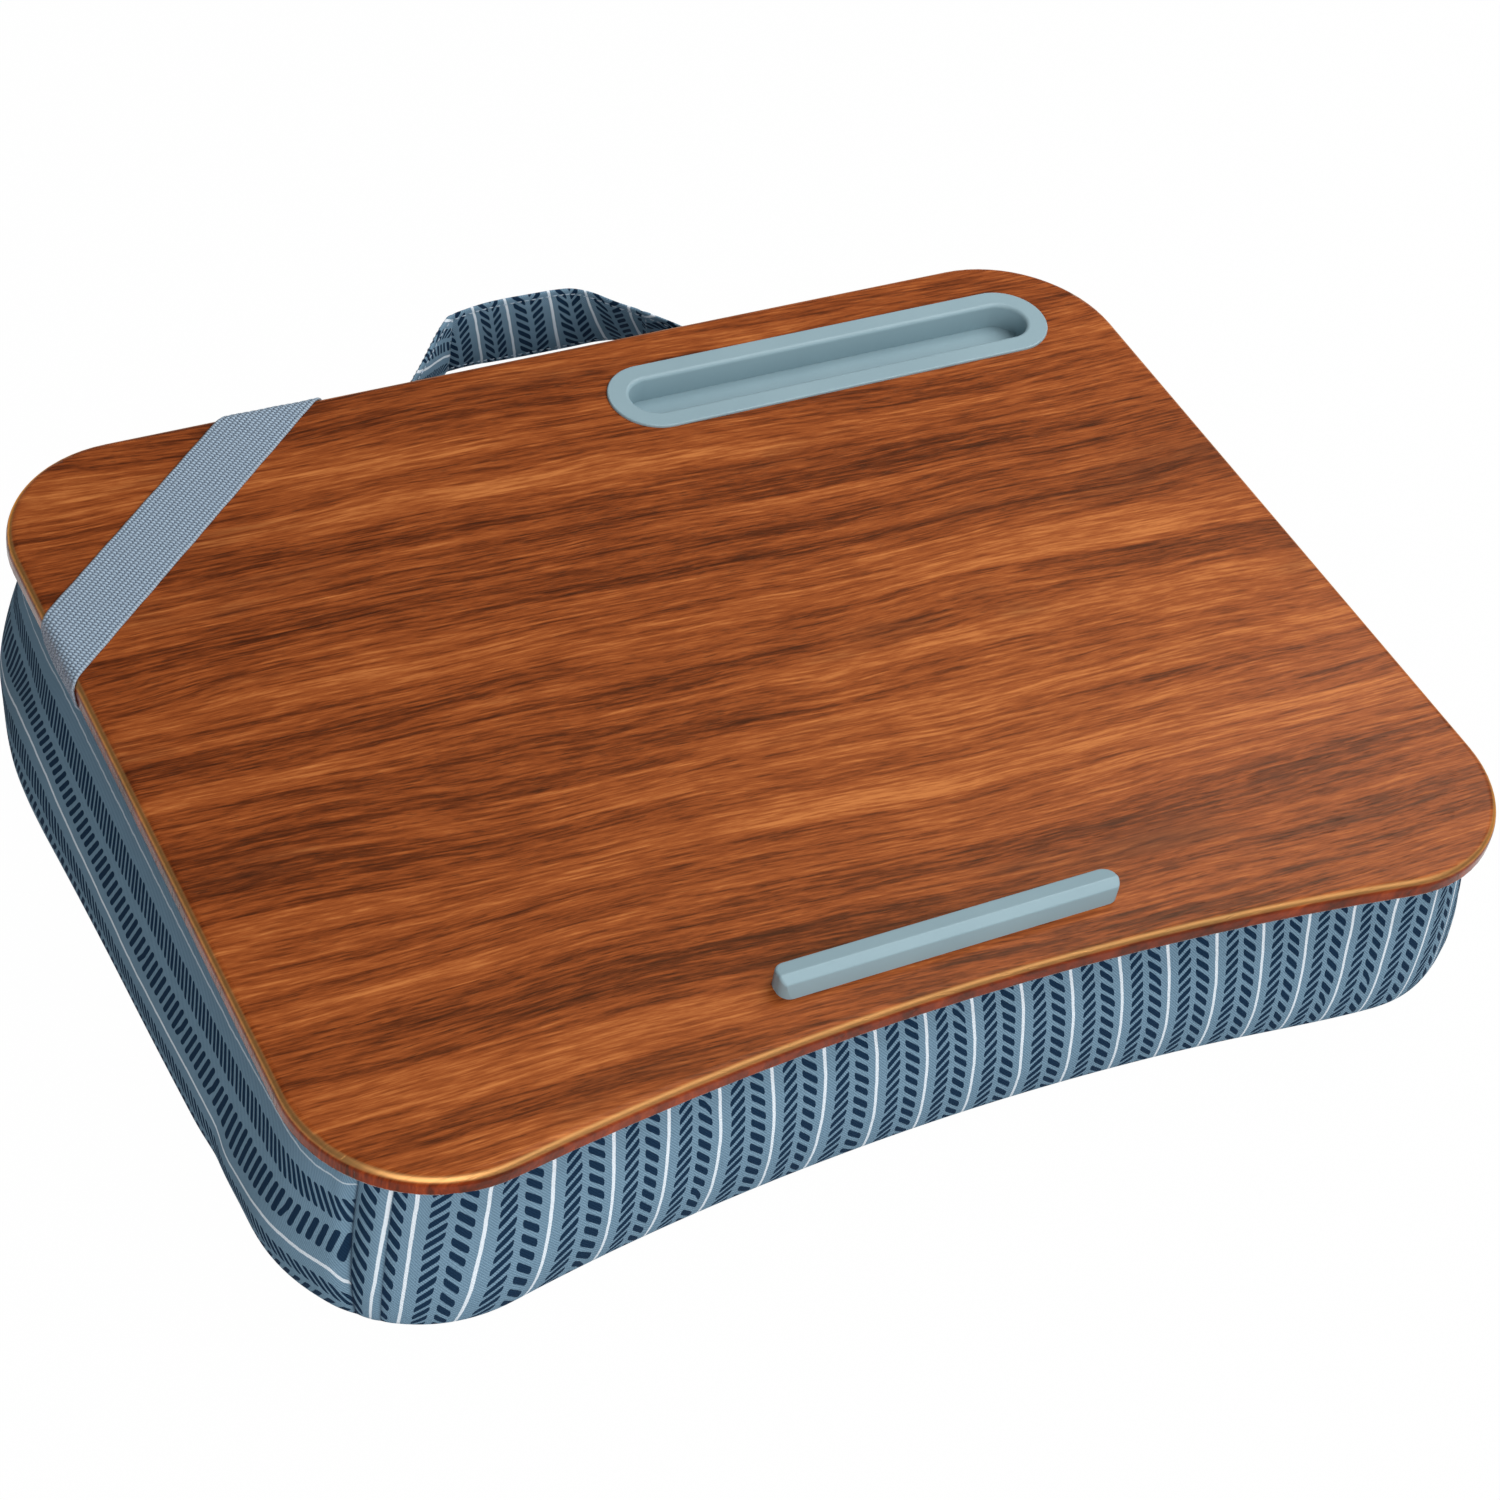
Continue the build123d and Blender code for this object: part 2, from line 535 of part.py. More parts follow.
def handle_pieces(foot_reach):
    """Grip and two tabs of folded cloth over one length of webbing."""
    swing_y = HALF_DEPTH + SWING_OUT
    low_y = foot_reach + SWING_GAP + BAND_THICKNESS / 2 * sin(FOLD_TURN)
    root_y = (swing_y + low_y) / 2
    root_lean = asin((swing_y - low_y) / BAND_WIDTH)
    grip_y = root_y + HANDLE_REACH
    swing_z = BAND_MIDDLE_Z + BAND_WIDTH / 2 * cos(root_lean)
    print(f"handle swings about X at Y {swing_y:.3f}, Z {swing_z:.3f}")

    def sections(side, width, thickness):
        root_facing = pi / 2 - side * FOLD_TURN
        fold_facing = pi / 2 - side * FOLD_TURN / 2
        mitre = thickness / cos(FOLD_TURN / 2)
        root_middle = (side * ROOT_HALF, root_y, BAND_MIDDLE_Z)
        fold_middle = (side * GRIP_HALF, grip_y, BAND_MIDDLE_Z)
        root = band_section(root_middle, root_facing, root_lean, width, thickness)
        fold = band_section(fold_middle, fold_facing, radians(BAND_LEAN), width, mitre)
        return root, fold

    def run(width, thickness):
        left_root, left_fold = sections(-1, width, thickness)
        right_root, right_fold = sections(1, width, thickness)
        return [left_root, left_fold, right_fold, right_root]

    room = loft(run(WEBBING_WIDTH + 2 * COVER_GAP, WEBBING_THICKNESS + 2 * COVER_GAP), ruled=True)
    cover = run(BAND_WIDTH, BAND_THICKNESS)
    names = ("handle_tab_left", "handle_grip", "handle_tab_right")
    pieces = {
        name: loft(cover[index:index + 2], ruled=True) - room
        for index, name in enumerate(names)
    }
    pieces["handle_webbing"] = loft(run(WEBBING_WIDTH, WEBBING_THICKNESS), ruled=True)
    return pieces


# ------------------------------------------------------------------- export
def build():
    """Every piece of the lap desk by name."""
    pieces = board_pieces()
    pieces["phone_tray"] = phone_tray()
    pieces["device_ledge"] = device_ledge()
    pieces["ledge_screws"] = ledge_screws()
    pieces["elastic_strap"] = elastic_strap()
    pieces["strap_staples"] = strap_staples()
    pieces.update(cushion_pieces())
    pieces["hem_staples"] = hem_staples()
    feet = handle_feet()
    foot_reach = max(foot.bounding_box().max.Y for foot in feet.values())
    pieces.update(feet)
    pieces.update(handle_pieces(foot_reach))
    return pieces


os.makedirs("parts", exist_ok=True)
for node, shape in build().items():
    export_step(shape, f"parts/{node}.step")
    print(f"{node:18s} solids {len(shape.solids()):3d}  volume {shape.volume:12.1f}")
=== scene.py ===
# %% [markdown]
# # A lap desk on a printed cushion
# A lap desk is a light board with a soft underside. This one has a board in
# wood-grain foil, a moulded tray for a phone, a low ledge, an elastic strap
# across one corner, and a stuffed cushion of printed cloth with a carry handle.
# The hard pieces come from the CAD model and only get their finish here. The
# soft ones are built here, each around the CAD piece that it stands for.

# %% Load the frame
from math import asin, atan2, cos, pi, radians, sin
import random

import bmesh
import bpy
import numpy as np
from mathutils import Matrix, Vector


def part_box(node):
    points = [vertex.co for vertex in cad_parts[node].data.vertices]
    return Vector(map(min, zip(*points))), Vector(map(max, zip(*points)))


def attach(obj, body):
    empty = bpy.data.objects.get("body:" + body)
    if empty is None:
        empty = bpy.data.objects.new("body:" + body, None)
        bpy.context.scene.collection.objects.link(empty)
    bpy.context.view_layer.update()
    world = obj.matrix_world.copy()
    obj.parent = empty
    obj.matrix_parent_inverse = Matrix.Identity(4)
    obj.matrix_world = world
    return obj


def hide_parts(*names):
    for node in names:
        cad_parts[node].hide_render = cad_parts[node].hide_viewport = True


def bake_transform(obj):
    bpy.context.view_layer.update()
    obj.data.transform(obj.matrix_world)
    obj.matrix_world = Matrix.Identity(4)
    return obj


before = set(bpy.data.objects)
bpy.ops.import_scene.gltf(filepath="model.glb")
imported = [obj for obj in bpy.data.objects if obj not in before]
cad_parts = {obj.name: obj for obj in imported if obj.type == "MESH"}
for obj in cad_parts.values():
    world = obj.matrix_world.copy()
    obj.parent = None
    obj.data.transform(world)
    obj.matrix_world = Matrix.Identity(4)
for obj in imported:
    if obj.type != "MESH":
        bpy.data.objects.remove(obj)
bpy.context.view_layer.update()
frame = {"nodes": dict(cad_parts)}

nodes, scene = frame["nodes"], bpy.context.scene

# %% [markdown]
# ## From a bmesh to an object
# Every new piece is shaped as a bmesh and then becomes a mesh in an object at the
# origin, unturned and unscaled, so that patterns on it stay where they are drawn.


# %% Making objects
MOST_VERTICES, MOST_COLUMNS = 8192.0, 1000      # more than any shape here has, for sorting


def put_in_scene(name, content):
    """An object of this name in the scene, with a mesh, a lamp or a camera in it."""
    made = bpy.data.objects.new(name, content)
    scene.collection.objects.link(made)
    return made


def object_from(shape, name, mesh_name):
    """Turns a finished bmesh into an object, and gives its mesh too."""
    mesh = bpy.data.meshes.new(mesh_name)
    shape.to_mesh(mesh)
    shape.free()
    return put_in_scene(name, mesh), mesh


def put_in_order(shape):
    """Sorts edges and faces by their vertices. Operators leave them in an order that can
    change from run to run, and the blown-up cloth would change a little with it."""
    def rank(part):
        return sum(i / MOST_VERTICES ** k for k, i in enumerate(sorted(v.index for v in part.verts)))

    for parts in (shape.edges, shape.faces):
        parts.sort(key=rank)
        parts.index_update()


def extrude(shape, row_layer, column_layer, row_count, place_row):
    """Draws a ring of edges out row by row into a closed form; gives its two end faces."""
    edges = list(shape.edges)
    for number in range(1, row_count):
        made = bmesh.ops.extrude_edge_only(shape, edges=edges)["geom"]
        vertices = [part for part in made if isinstance(part, bmesh.types.BMVert)]
        for vertex in vertices:
            vertex[row_layer] = number
        place_row(vertices, number)
        edges = [part for part in made if isinstance(part, bmesh.types.BMEdge)]
        edges = [edge for edge in edges if all(v[row_layer] == number for v in edge.verts)]
    shape.verts.sort(key=lambda v: v[row_layer] * MOST_COLUMNS + v[column_layer])
    shape.verts.index_update()
    put_in_order(shape)
    rims = [[e for e in shape.edges if all(v[row_layer] == number for v in e.verts)]
            for number in (row_count - 1, 0)]
    return [bmesh.ops.contextual_create(shape, geom=rim)["faces"][0] for rim in rims]


def set_numbers(mesh, name, domain, values):
    """Gives a mesh a number for each of its points or face corners, for its finish to read."""
    mesh.attributes.new(name, "FLOAT", domain).data.foreach_set("value", values)


# %% [markdown]
# ## Camera
# The desk is seen from its front left, a little under 45 degrees above the
# table, and the camera is rolled so that the desk leans in the picture. The
# back direction of the camera and its roll give the three axes of its frame.

# %% Camera
AIM = Vector((-0.02285, -0.04253, 0.066))
AZIMUTH, ELEVATION, ROLL = radians(-34.5205), radians(44.6262), radians(10.9553)
DISTANCE, SENSOR_WIDTH, FOCAL_LENGTH = 1.131, 36.0, 79.68      # metres, then millimetres
back = Vector((sin(AZIMUTH) * cos(ELEVATION), -cos(AZIMUTH) * cos(ELEVATION), sin(ELEVATION)))
level_right = Vector((cos(AZIMUTH), sin(AZIMUTH), 0))
level_up = back.cross(level_right)
right = level_right * cos(ROLL) + level_up * sin(ROLL)
up = level_up * cos(ROLL) - level_right * sin(ROLL)
lens = bpy.data.cameras.new("camera")
lens.sensor_width, lens.lens = SENSOR_WIDTH, FOCAL_LENGTH
lens.clip_start, lens.clip_end = 0.05, 20.0
camera = put_in_scene("camera", lens)
axes = Matrix((right, up, back)).transposed().to_4x4()
camera.matrix_world = Matrix.Translation(AIM + back * DISTANCE) @ axes
scene.camera = camera
scene.view_settings.view_transform = "Standard"
print("camera at", [round(v, 3) for v in camera.location])

# %% [markdown]
# ## Light
# A large soft lamp overhead shows colours as they are, and lower ones in front
# are mirrored along rounded edges. A dim even world fills what they leave dark.


# %% Lamps
def softbox(name, place, aim, width, height, watts):
    """An area lamp that looks at a point."""
    lamp = bpy.data.lights.new(name, "AREA")
    lamp.shape, lamp.size, lamp.size_y, lamp.energy = "RECTANGLE", width, height, watts
    box = put_in_scene(name, lamp)
    box.location = place
    box.rotation_euler = (Vector(aim) - Vector(place)).to_track_quat("-Z", "Y").to_euler()
    print(name, watts, "W,", width, "by", height, "m")


softbox("overhead softbox", (0.85, 0.12, 1.25), (0.12, 0, 0.06), 1.2, 1.2, 19.0)
softbox("corner softbox", (-0.54, -1.10, 0.62), (-0.20, -0.15, 0.03), 1.1, 1.0, 9.5)
softbox("front softbox", (0.42, -1.40, 1.22), (0, -0.15, 0.05), 1.6, 0.8, 6.0)

# %% [markdown]
# ## Writing a finish
# A finish is a tree of nodes, and sums in it are easier to read as Python. The
# first class below wraps one output of a node, so that `1 - mask * 0.5` adds the
# Math nodes that it needs. Every other node comes from the one method `node`.


# %% Node arithmetic
def maths_method(operation, swapped=False):
    """A method that adds a Math node."""
    def method(self, *others):
        return self.nodes.maths(operation, *((*others, self) if swapped else (self, *others)))
    return method


class Value:
    """One output of a node, which can be used in a sum."""

    __add__ = __radd__ = maths_method("ADD")
    __sub__, __rsub__ = maths_method("SUBTRACT"), maths_method("SUBTRACT", swapped=True)
    __mul__ = __rmul__ = maths_method("MULTIPLY")
    __truediv__, __abs__ = maths_method("DIVIDE"), maths_method("ABSOLUTE")

    def __init__(self, nodes, socket):
        self.nodes, self.socket = nodes, socket

    def beside(self, output):
        """Another output of the same node."""
        return Value(self.nodes, self.socket.node.outputs[output])


class Nodes:
    """A tree of nodes, written as sums."""

    def __init__(self, owner):
        owner.use_nodes = True
        self.tree = owner.node_tree

    def node(self, kind, settings=None, inputs=None, output=0):
        """A node: its settings first, then what its sockets are given."""
        made = self.tree.nodes.new(kind)
        for name, value in (settings or {}).items():
            setattr(made, name, value)
        for name, value in (inputs or {}).items():
            self.feed(made.inputs[name], value)
        return Value(self, made.outputs[output])

    def feed(self, socket, value):
        if isinstance(value, Value):
            self.tree.links.new(value.socket, socket)
        else:
            socket.default_value = value

    def maths(self, operation, *values):
        return self.node("ShaderNodeMath", {"operation": operation}, dict(enumerate(values)))


class Finish(Nodes):
    """A material, which starts with some plain numbers for its surface."""

    def __init__(self, name, **surface):
        self.material = bpy.data.materials.new(name)
        super().__init__(self.material)
        self.surface = self.tree.nodes["Principled BSDF"]
        for socket, value in surface.items():
            self.give(socket.replace("_", " "), value)

    def give(self, socket, value):
        """Gives a value or a link to a socket of the surface shader."""
        self.feed(self.surface.inputs[socket], value)

    def ramp(self, value, stops):
        made = self.node("ShaderNodeValToRGB", None, {"Fac": value})
        elements = made.socket.node.color_ramp.elements
        while len(elements) < len(stops):
            elements.new(0.5)
        for element, (place, colour) in zip(elements, stops):
            element.position, element.color = place, colour
        return made

    def blend(self, factor, below, above, how="MIX"):
        """Colours, `above` over `below`. Sockets 6 and 7 of a Mix node are its colours."""
        settings = {"data_type": "RGBA", "blend_type": how}
        return self.node("ShaderNodeMix", settings, {0: factor, 6: below, 7: above}, output=2)

    def step(self, value, low, high):
        """0 below `low`, 1 above `high`, smooth in between; falls where low is above high."""
        sockets = {"Value": value, "From Min": low, "From Max": high}
        return self.node("ShaderNodeMapRange", {"interpolation_type": "SMOOTHSTEP"}, sockets)

    def place(self):
        return self.node("ShaderNodeTexCoord", output="Object")

    def laid(self, name):
        return self.node("ShaderNodeUVMap", {"uv_map": name})

    def number(self, name):
        return self.node("ShaderNodeAttribute", {"attribute_name": name}, output="Fac")

    def mapped(self, vector, scale=(1, 1, 1), turn=(0, 0, 0), shift=(0, 0, 0)):
        sockets = {"Vector": vector, "Scale": scale, "Rotation": turn, "Location": shift}
        return self.node("ShaderNodeMapping", None, sockets)

    def noise(self, vector, scale, detail=2.0, roughness=0.5, distortion=0.0):
        sockets = {"Vector": vector, "Scale": scale, "Detail": detail, "Roughness": roughness,
                   "Distortion": distortion}
        return self.node("ShaderNodeTexNoise", None, sockets)

    def parts(self, vector):
        x = self.node("ShaderNodeSeparateXYZ", None, {"Vector": vector})
        return x, x.beside("Y"), x.beside("Z")

    def bump(self, height, depth, strength=1.0):
        """Relief, `depth` in metres where height goes from 0 to 1."""
        sockets = {"Height": height, "Distance": depth, "Strength": strength}
        self.give("Normal", self.node("ShaderNodeBump", None, sockets))


def paint(red, green, blue):
    """A colour by its usual screen numbers, 0 to 255, as linear light."""
    channels = [c / 255 for c in (red, green, blue)]
    return tuple(c / 12.92 if c <= 0.04045 else ((c + 0.055) / 1.055) ** 2.4 for c in channels) + (1.0,)


def wear(node_names, finish):
    """Gives a finish to CAD pieces, whose meshes stay as they are."""
    for name in node_names:
        nodes[name].data.materials.clear()
        nodes[name].data.materials.append(finish.material)
    print(finish.material.name, "on", ", ".join(node_names))


# %% [markdown]
# ## Table and backdrop
# The desk lies on a plain white table, which the eye sees nearly as bright as the
# white behind it, with the desk's soft shadow on it. Light Path tells the rays
# that go to the eye or a mirror from those that light.

# %% Floor
FLOOR_GLOW = 0.99
sweep = bmesh.new()
bmesh.ops.create_circle(sweep, cap_ends=True, segments=96, radius=4.0)
floor, floor_mesh = object_from(sweep, "floor", "floor")

table_paint = Finish("table paint", Base_Color=paint(212, 212, 212), Roughness=0.9, Specular_IOR_Level=0.1)
rays = table_paint.node("ShaderNodeLightPath")
seen = table_paint.maths("MAXIMUM", rays, rays.beside("Is Glossy Ray"))
glow = table_paint.node("ShaderNodeEmission", None, {"Color": (1, 1, 1, 1), "Strength": 1.0})
surface = Value(table_paint, table_paint.surface.outputs[0])
both = table_paint.node("ShaderNodeMixShader", None, {0: seen * FLOOR_GLOW, 1: surface, 2: glow})
table_paint.feed(table_paint.tree.nodes["Material Output"].inputs["Surface"], both)
floor_mesh.materials.append(table_paint.material)

# %% World
WORLD_FILL = 0.15
scene.world = bpy.data.worlds.new("world")
sky = Nodes(scene.world)
path = sky.node("ShaderNodeLightPath")
eye = sky.maths("MAXIMUM", path, path.beside("Is Transmission Ray"))
strength = sky.node("ShaderNodeMapRange", None, {"Value": eye, "To Min": WORLD_FILL, "To Max": 1.0})
background = sky.tree.nodes["Background"].inputs
sky.feed(background["Strength"], strength)
sky.feed(background["Color"], (1, 1, 1, 1))
print("world fill", WORLD_FILL)

# %% [markdown]
# ## Wood-grain foil
# The board is wrapped in foil printed like oiled walnut. Its grain runs from
# side to side. Noise that is stretched along X gives the growth bands, the lines
# and fibres in them, the short dark pores and a few darker patches. Two slower
# noises bend them all.

# %% Foil
BOARD_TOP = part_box("wood_foil")[1].z
BOARD_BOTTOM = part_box("wood_foil")[0].z
GRAIN_TURN = radians(2.2)
foil = Finish("wood foil", Coat_Roughness=0.16, Specular_IOR_Level=0.22, Specular_Tint=paint(255, 200, 130))
board_place = foil.mapped(foil.place(), turn=(0, 0, GRAIN_TURN))
across_x, across_y, height = foil.parts(board_place)
sway = foil.noise(foil.mapped(board_place, scale=(3.2, 9.0, 3.0)), 1.0, 2.0)
ripple = foil.noise(foil.mapped(board_place, scale=(18, 46, 10), shift=(3, 1, 0)), 1.0, 2.0)
bent_y = across_y + (sway - 0.5) * 0.030 + (ripple - 0.5) * 0.0032
bent = foil.node("ShaderNodeCombineXYZ", None, {"X": across_x, "Y": bent_y, "Z": height * 0.4})


def grain(scale_x, scale_y, detail, roughness=0.55, shift=0.0):
    """Noise drawn out along the board."""
    vector = foil.mapped(bent, scale=(scale_x, scale_y, scale_y * 0.3), shift=(shift, shift * 1.7, shift))
    return foil.noise(vector, 1.0, detail, roughness)


bands = grain(2.4, 46, 5.0, 0.62)
lines = grain(7.0, 190, 3.0, 0.6, shift=4.0)
threads = grain(26.0, 620, 2.0, 0.6, shift=9.0)
fibres = grain(80.0, 1050, 3.0, 0.7, shift=12.0)
pores = grain(150.0, 1500, 1.0, 0.5, shift=15.0)
patches = grain(6.5, 26, 3.0, 0.6, shift=22.0)
tone = bands * 0.56 + lines * 0.40 + threads * 0.34 + fibres * 0.46 - 0.36
wood_colour = foil.ramp(tone, [
    (0.33, paint(64, 26, 10)), (0.43, paint(101, 45, 18)), (0.51, paint(137, 66, 28)),
    (0.59, paint(160, 83, 38)), (0.72, paint(198, 119, 62)),
])
dark_patch = foil.step(patches, 0.57, 0.74) * foil.step(lines, 0.30, 0.60)
wood_colour = foil.blend(dark_patch * 0.62, wood_colour, paint(74, 38, 24))
pore_marks = foil.step(pores, 0.60, 0.72) * foil.step(bands + lines * 0.5, 0.92, 0.62)
wood_colour = foil.blend(pore_marks * 0.55, wood_colour, paint(62, 28, 14))
# The foil is stretched over the edge. There it is painted darker and more saturated than the top: painted
# shade on the edge's round and side.
below_top = BOARD_TOP - height
rim = foil.step(below_top, 0.0004, 0.0032)
wood_colour = foil.blend(rim * 0.9, wood_colour, paint(204, 128, 62), "MULTIPLY")
# A band on the upper round is painted gold: a painted highlight. It is also made metallic so that it mirrors
# the lamps.
painted_highlight_band = foil.step(below_top, 0.0002, 0.0008) * foil.step(below_top, 0.0024, 0.0013)
wood_colour = foil.blend(painted_highlight_band * 0.7, wood_colour, paint(226, 170, 106))
# A thin pale broken line along the lower edge is a painted glint on the lower round.
edge_dots = foil.noise(foil.place(), 900.0, 2.0)
painted_edge_glint = foil.step(height, BOARD_BOTTOM + 0.0011, BOARD_BOTTOM + 0.0007) * foil.step(edge_dots, 0.38, 0.55)
wood_colour = foil.blend(painted_edge_glint * 0.55, wood_colour, paint(214, 204, 196))
foil.give("Base Color", wood_colour)
foil.give("Coat Weight", 0.06 - rim * 0.06)
foil.give("Metallic", painted_highlight_band * 0.9)
foil.give("Roughness", (0.34 + lines * 0.12 + pore_marks * 0.15) * (1 - rim * 0.45))
foil.bump(threads * 0.4 - pore_marks, 0.00006)
wear(["wood_foil"], foil)

# %% [markdown]
# ## Hard parts under and on the board
# The tray and the ledge are one grey-blue plastic with the fine spark texture
# of a mould, a little smoother where hands rub it. Screws and staples are zinc
# plated steel, the core is pressed fibre, and the sheet under it is kraft paper.

# %% Moulded plastic
plastic = Finish("moulded plastic", Specular_IOR_Level=0.42)
spark = plastic.noise(plastic.place(), 2600.0, 2.0, 0.6)
smudge = plastic.noise(plastic.place(), 22.0, 3.0, 0.6)
blue_grey = plastic.blend(smudge * 0.7, paint(138, 164, 174), paint(154, 180, 188))
plastic.give("Base Color", blue_grey)
plastic.give("Roughness", 0.40 + smudge * 0.16)
plastic.bump(spark, 0.00003)
wear(["phone_tray", "device_ledge"], plastic)

# %% Zinc, fibreboard, paper and card
zinc = Finish("zinc plate", Metallic=1.0)
stain = zinc.noise(zinc.place(), 240.0, 3.0, 0.6)
zinc.give("Base Color", zinc.blend(stain, paint(150, 152, 156), paint(196, 198, 202)))
zinc.give("Roughness", 0.28 + stain * 0.25)
zinc.bump(zinc.noise(zinc.place(), 2400.0), 0.00002)
wear(["ledge_screws", "hem_staples", "strap_staples"], zinc)


def fibrous(name, dark, light, fleck, depth):
    """Pressed or felted fibre: a mottled colour with flecks and a rough face."""
    made = Finish(name, Roughness=0.85)
    cloud = made.noise(made.place(), 60.0, 3.0, 0.6)
    fibre = made.noise(made.mapped(made.place(), scale=(1, 2.6, 1), turn=(0, 0, 0.6)), fleck, 3.0, 0.7)
    made.give("Base Color", made.blend(cloud * 0.5 + fibre * 0.5, dark, light))
    made.bump(fibre, depth)
    return made


wear(["board_core"], fibrous("fibreboard", paint(120, 88, 58), paint(164, 128, 90), 1400.0, 0.0002))
wear(["backing_sheet"], fibrous("backing paper", paint(62, 46, 34), paint(88, 66, 48), 900.0, 0.00008))
wear(["hem_strips"], fibrous("card strip", paint(70, 72, 76), paint(104, 106, 110), 800.0, 0.0001))

# %% [markdown]
# ## Woven cloth
# The cover is a fine twill: its diagonal ribs are about a millimetre apart. Each
# cloth piece carries two UV maps. "Weave" is laid out in metres, so that the
# threads have their real size. "Print" counts repeats of the stripe across and
# dashes along, so that the print follows each panel as it was cut. Two attributes
# say where the cloth is pulled, which thins the white lines and dims them as
# painted shade, and where a dark line of painted shade runs along the seams.

# %% Printed cloth
LINE_HALF = 0.033           # half the white line, in repeats of the stripe
DASH_MIDDLE, DASH_HALF = 0.170, 0.132       # of the left dashes, from the stripe's middle
TWILL_PITCH = 0.00105       # metres

cloth = Finish("printed cloth", Roughness=0.88, Specular_IOR_Level=0.08)
print_map, weave_map = cloth.laid("Print"), cloth.laid("Weave")
wander = cloth.noise(cloth.mapped(print_map, scale=(1.0, 0.35, 1.0)), 1.6, 2.0)
print_u, print_v, _ = cloth.parts(print_map)
weave_u, weave_v, _ = cloth.parts(weave_map)
drawn_u = print_u + (wander - 0.5) * 0.03


def chance_of(number):
    """A random number from 0 to 1, the same for the same number."""
    return cloth.node("ShaderNodeTexWhiteNoise", {"noise_dimensions": "1D"}, {"W": number})


repeat = cloth.maths("FRACT", drawn_u)
from_line = abs(cloth.maths("FRACT", drawn_u + 0.5) - 0.5)
from_middle = abs(repeat - 0.5)
side = cloth.maths("GREATER_THAN", repeat, 0.5)
# Left of the middle are thin steep dashes set close, right of it thick flat ones.
offset = (from_middle - DASH_MIDDLE - side * 0.035) / (DASH_HALF + side * 0.006)
stripe = cloth.maths("FLOOR", drawn_u)
bar = chance_of(stripe)
climb = print_v * (1.17 - side * 0.22) + offset * (0.58 - side * 0.08) + side * 0.18 + bar
tally = cloth.maths("FLOOR", climb) + stripe * 37.0 + side * 11.3
chance, other_chance = chance_of(tally), chance_of(tally + 0.37)
ragged = cloth.noise(weave_map, 900.0, 1.0)
hooked = cloth.step(other_chance, 0.93, 0.96) * side * (cloth.maths("MAXIMUM", offset, 0.0) * 0.34 - 0.08)
dash_place = abs(cloth.maths("FRACT", climb) - 0.5 + (chance - 0.5) * 0.09 + hooked)
ends = cloth.maths("POWER", abs(offset * (0.94 + other_chance * 0.14)), 12.0)
dash_width = 0.298 - side * 0.018 + chance * 0.035
dash_width = cloth.maths("SQRT", cloth.maths("MAXIMUM", 1 - ends, 0.0)) * dash_width
dash = cloth.step(dash_width - dash_place + (ragged - 0.5) * 0.05, -0.035, 0.035)
dash = dash * cloth.maths("LESS_THAN", abs(offset), 1.06)
stretch_and_shade, painted_seam_shade = cloth.number("stretch_and_shade"), cloth.number("painted_seam_shade")
line = cloth.step((from_line + (ragged - 0.5) * 0.006) * stretch_and_shade, LINE_HALF + 0.006, LINE_HALF - 0.006)

rib = cloth.maths("SINE", (weave_u - weave_v) * (2 * pi / TWILL_PITCH)) * 0.5 + 0.5
thread = cloth.noise(cloth.mapped(weave_map, scale=(1.0, 0.35, 1.0)), 2600.0, 2.0)
fade = cloth.noise(weave_map, 14.0, 3.0)
ground = cloth.blend(rib * 0.65 + thread * 0.25, paint(134, 164, 184), paint(84, 113, 135))
ground = cloth.blend(fade * 0.4, ground, paint(107, 136, 157))
# The white lines are painted dimmer where the stretch number is high, most of all on the sides just under the
# board: painted shade.
inked = cloth.blend(line * (1.10 - stretch_and_shade * 0.16), ground, paint(232, 241, 249))
navy = cloth.blend(rib * 0.4 + thread * 0.3, paint(14, 44, 72), paint(4, 28, 50))
inked = cloth.blend(dash * 0.97, inked, navy)
# A dark line along the seams and the tuck is painted shade.
inked = cloth.blend(painted_seam_shade * painted_seam_shade * 0.85, inked, paint(22, 34, 52))
cloth.give("Base Color", inked)
cloth.bump(rib * 0.7 + thread * 0.5, 0.00012)
print("printed cloth:", len(cloth.tree.nodes), "nodes")

# %% Base cloth, lining and thread
PLAIN_PITCH = 0.0011
base_cloth = Finish("base cloth", Roughness=0.85)
base_map = base_cloth.laid("Weave")
warp, weft = (base_cloth.maths("SINE", way * (2 * pi / PLAIN_PITCH)) * 0.5 + 0.5
              for way in base_cloth.parts(base_map)[:2])
slub = base_cloth.noise(base_map, 700.0, 3.0, 0.6)
base_light = warp * weft * 0.6 + slub * 0.4
base_cloth.give("Base Color", base_cloth.blend(base_light, paint(44, 58, 78), paint(70, 88, 110)))
base_cloth.bump(warp + weft + slub * 0.6, 0.0001)

lining = Finish("lining cloth", Roughness=0.9)
felted = lining.noise(lining.mapped(lining.place(), scale=(1, 1, 0.2)), 700.0, 4.0, 0.7)
lining.give("Base Color", lining.blend(felted, paint(172, 172, 170), paint(214, 214, 212)))
lining.bump(felted, 0.0001)
wear(["top_lining"], lining)

thread_finish = Finish("stitch thread", Roughness=0.6, Sheen_Weight=0.2)
twist = thread_finish.noise(thread_finish.place(), 3200.0, 2.0)
thread_finish.give("Base Color", thread_finish.blend(twist, paint(132, 152, 172), paint(176, 192, 206)))
thread_finish.bump(twist, 0.00005)

# %% [markdown]
# ## The edge of the board
# The cushion follows the edge of the board all round. The edge is a chain of runs,
# straight or turning, and a walk along the chain gives the point and the outward
# direction at any distance.

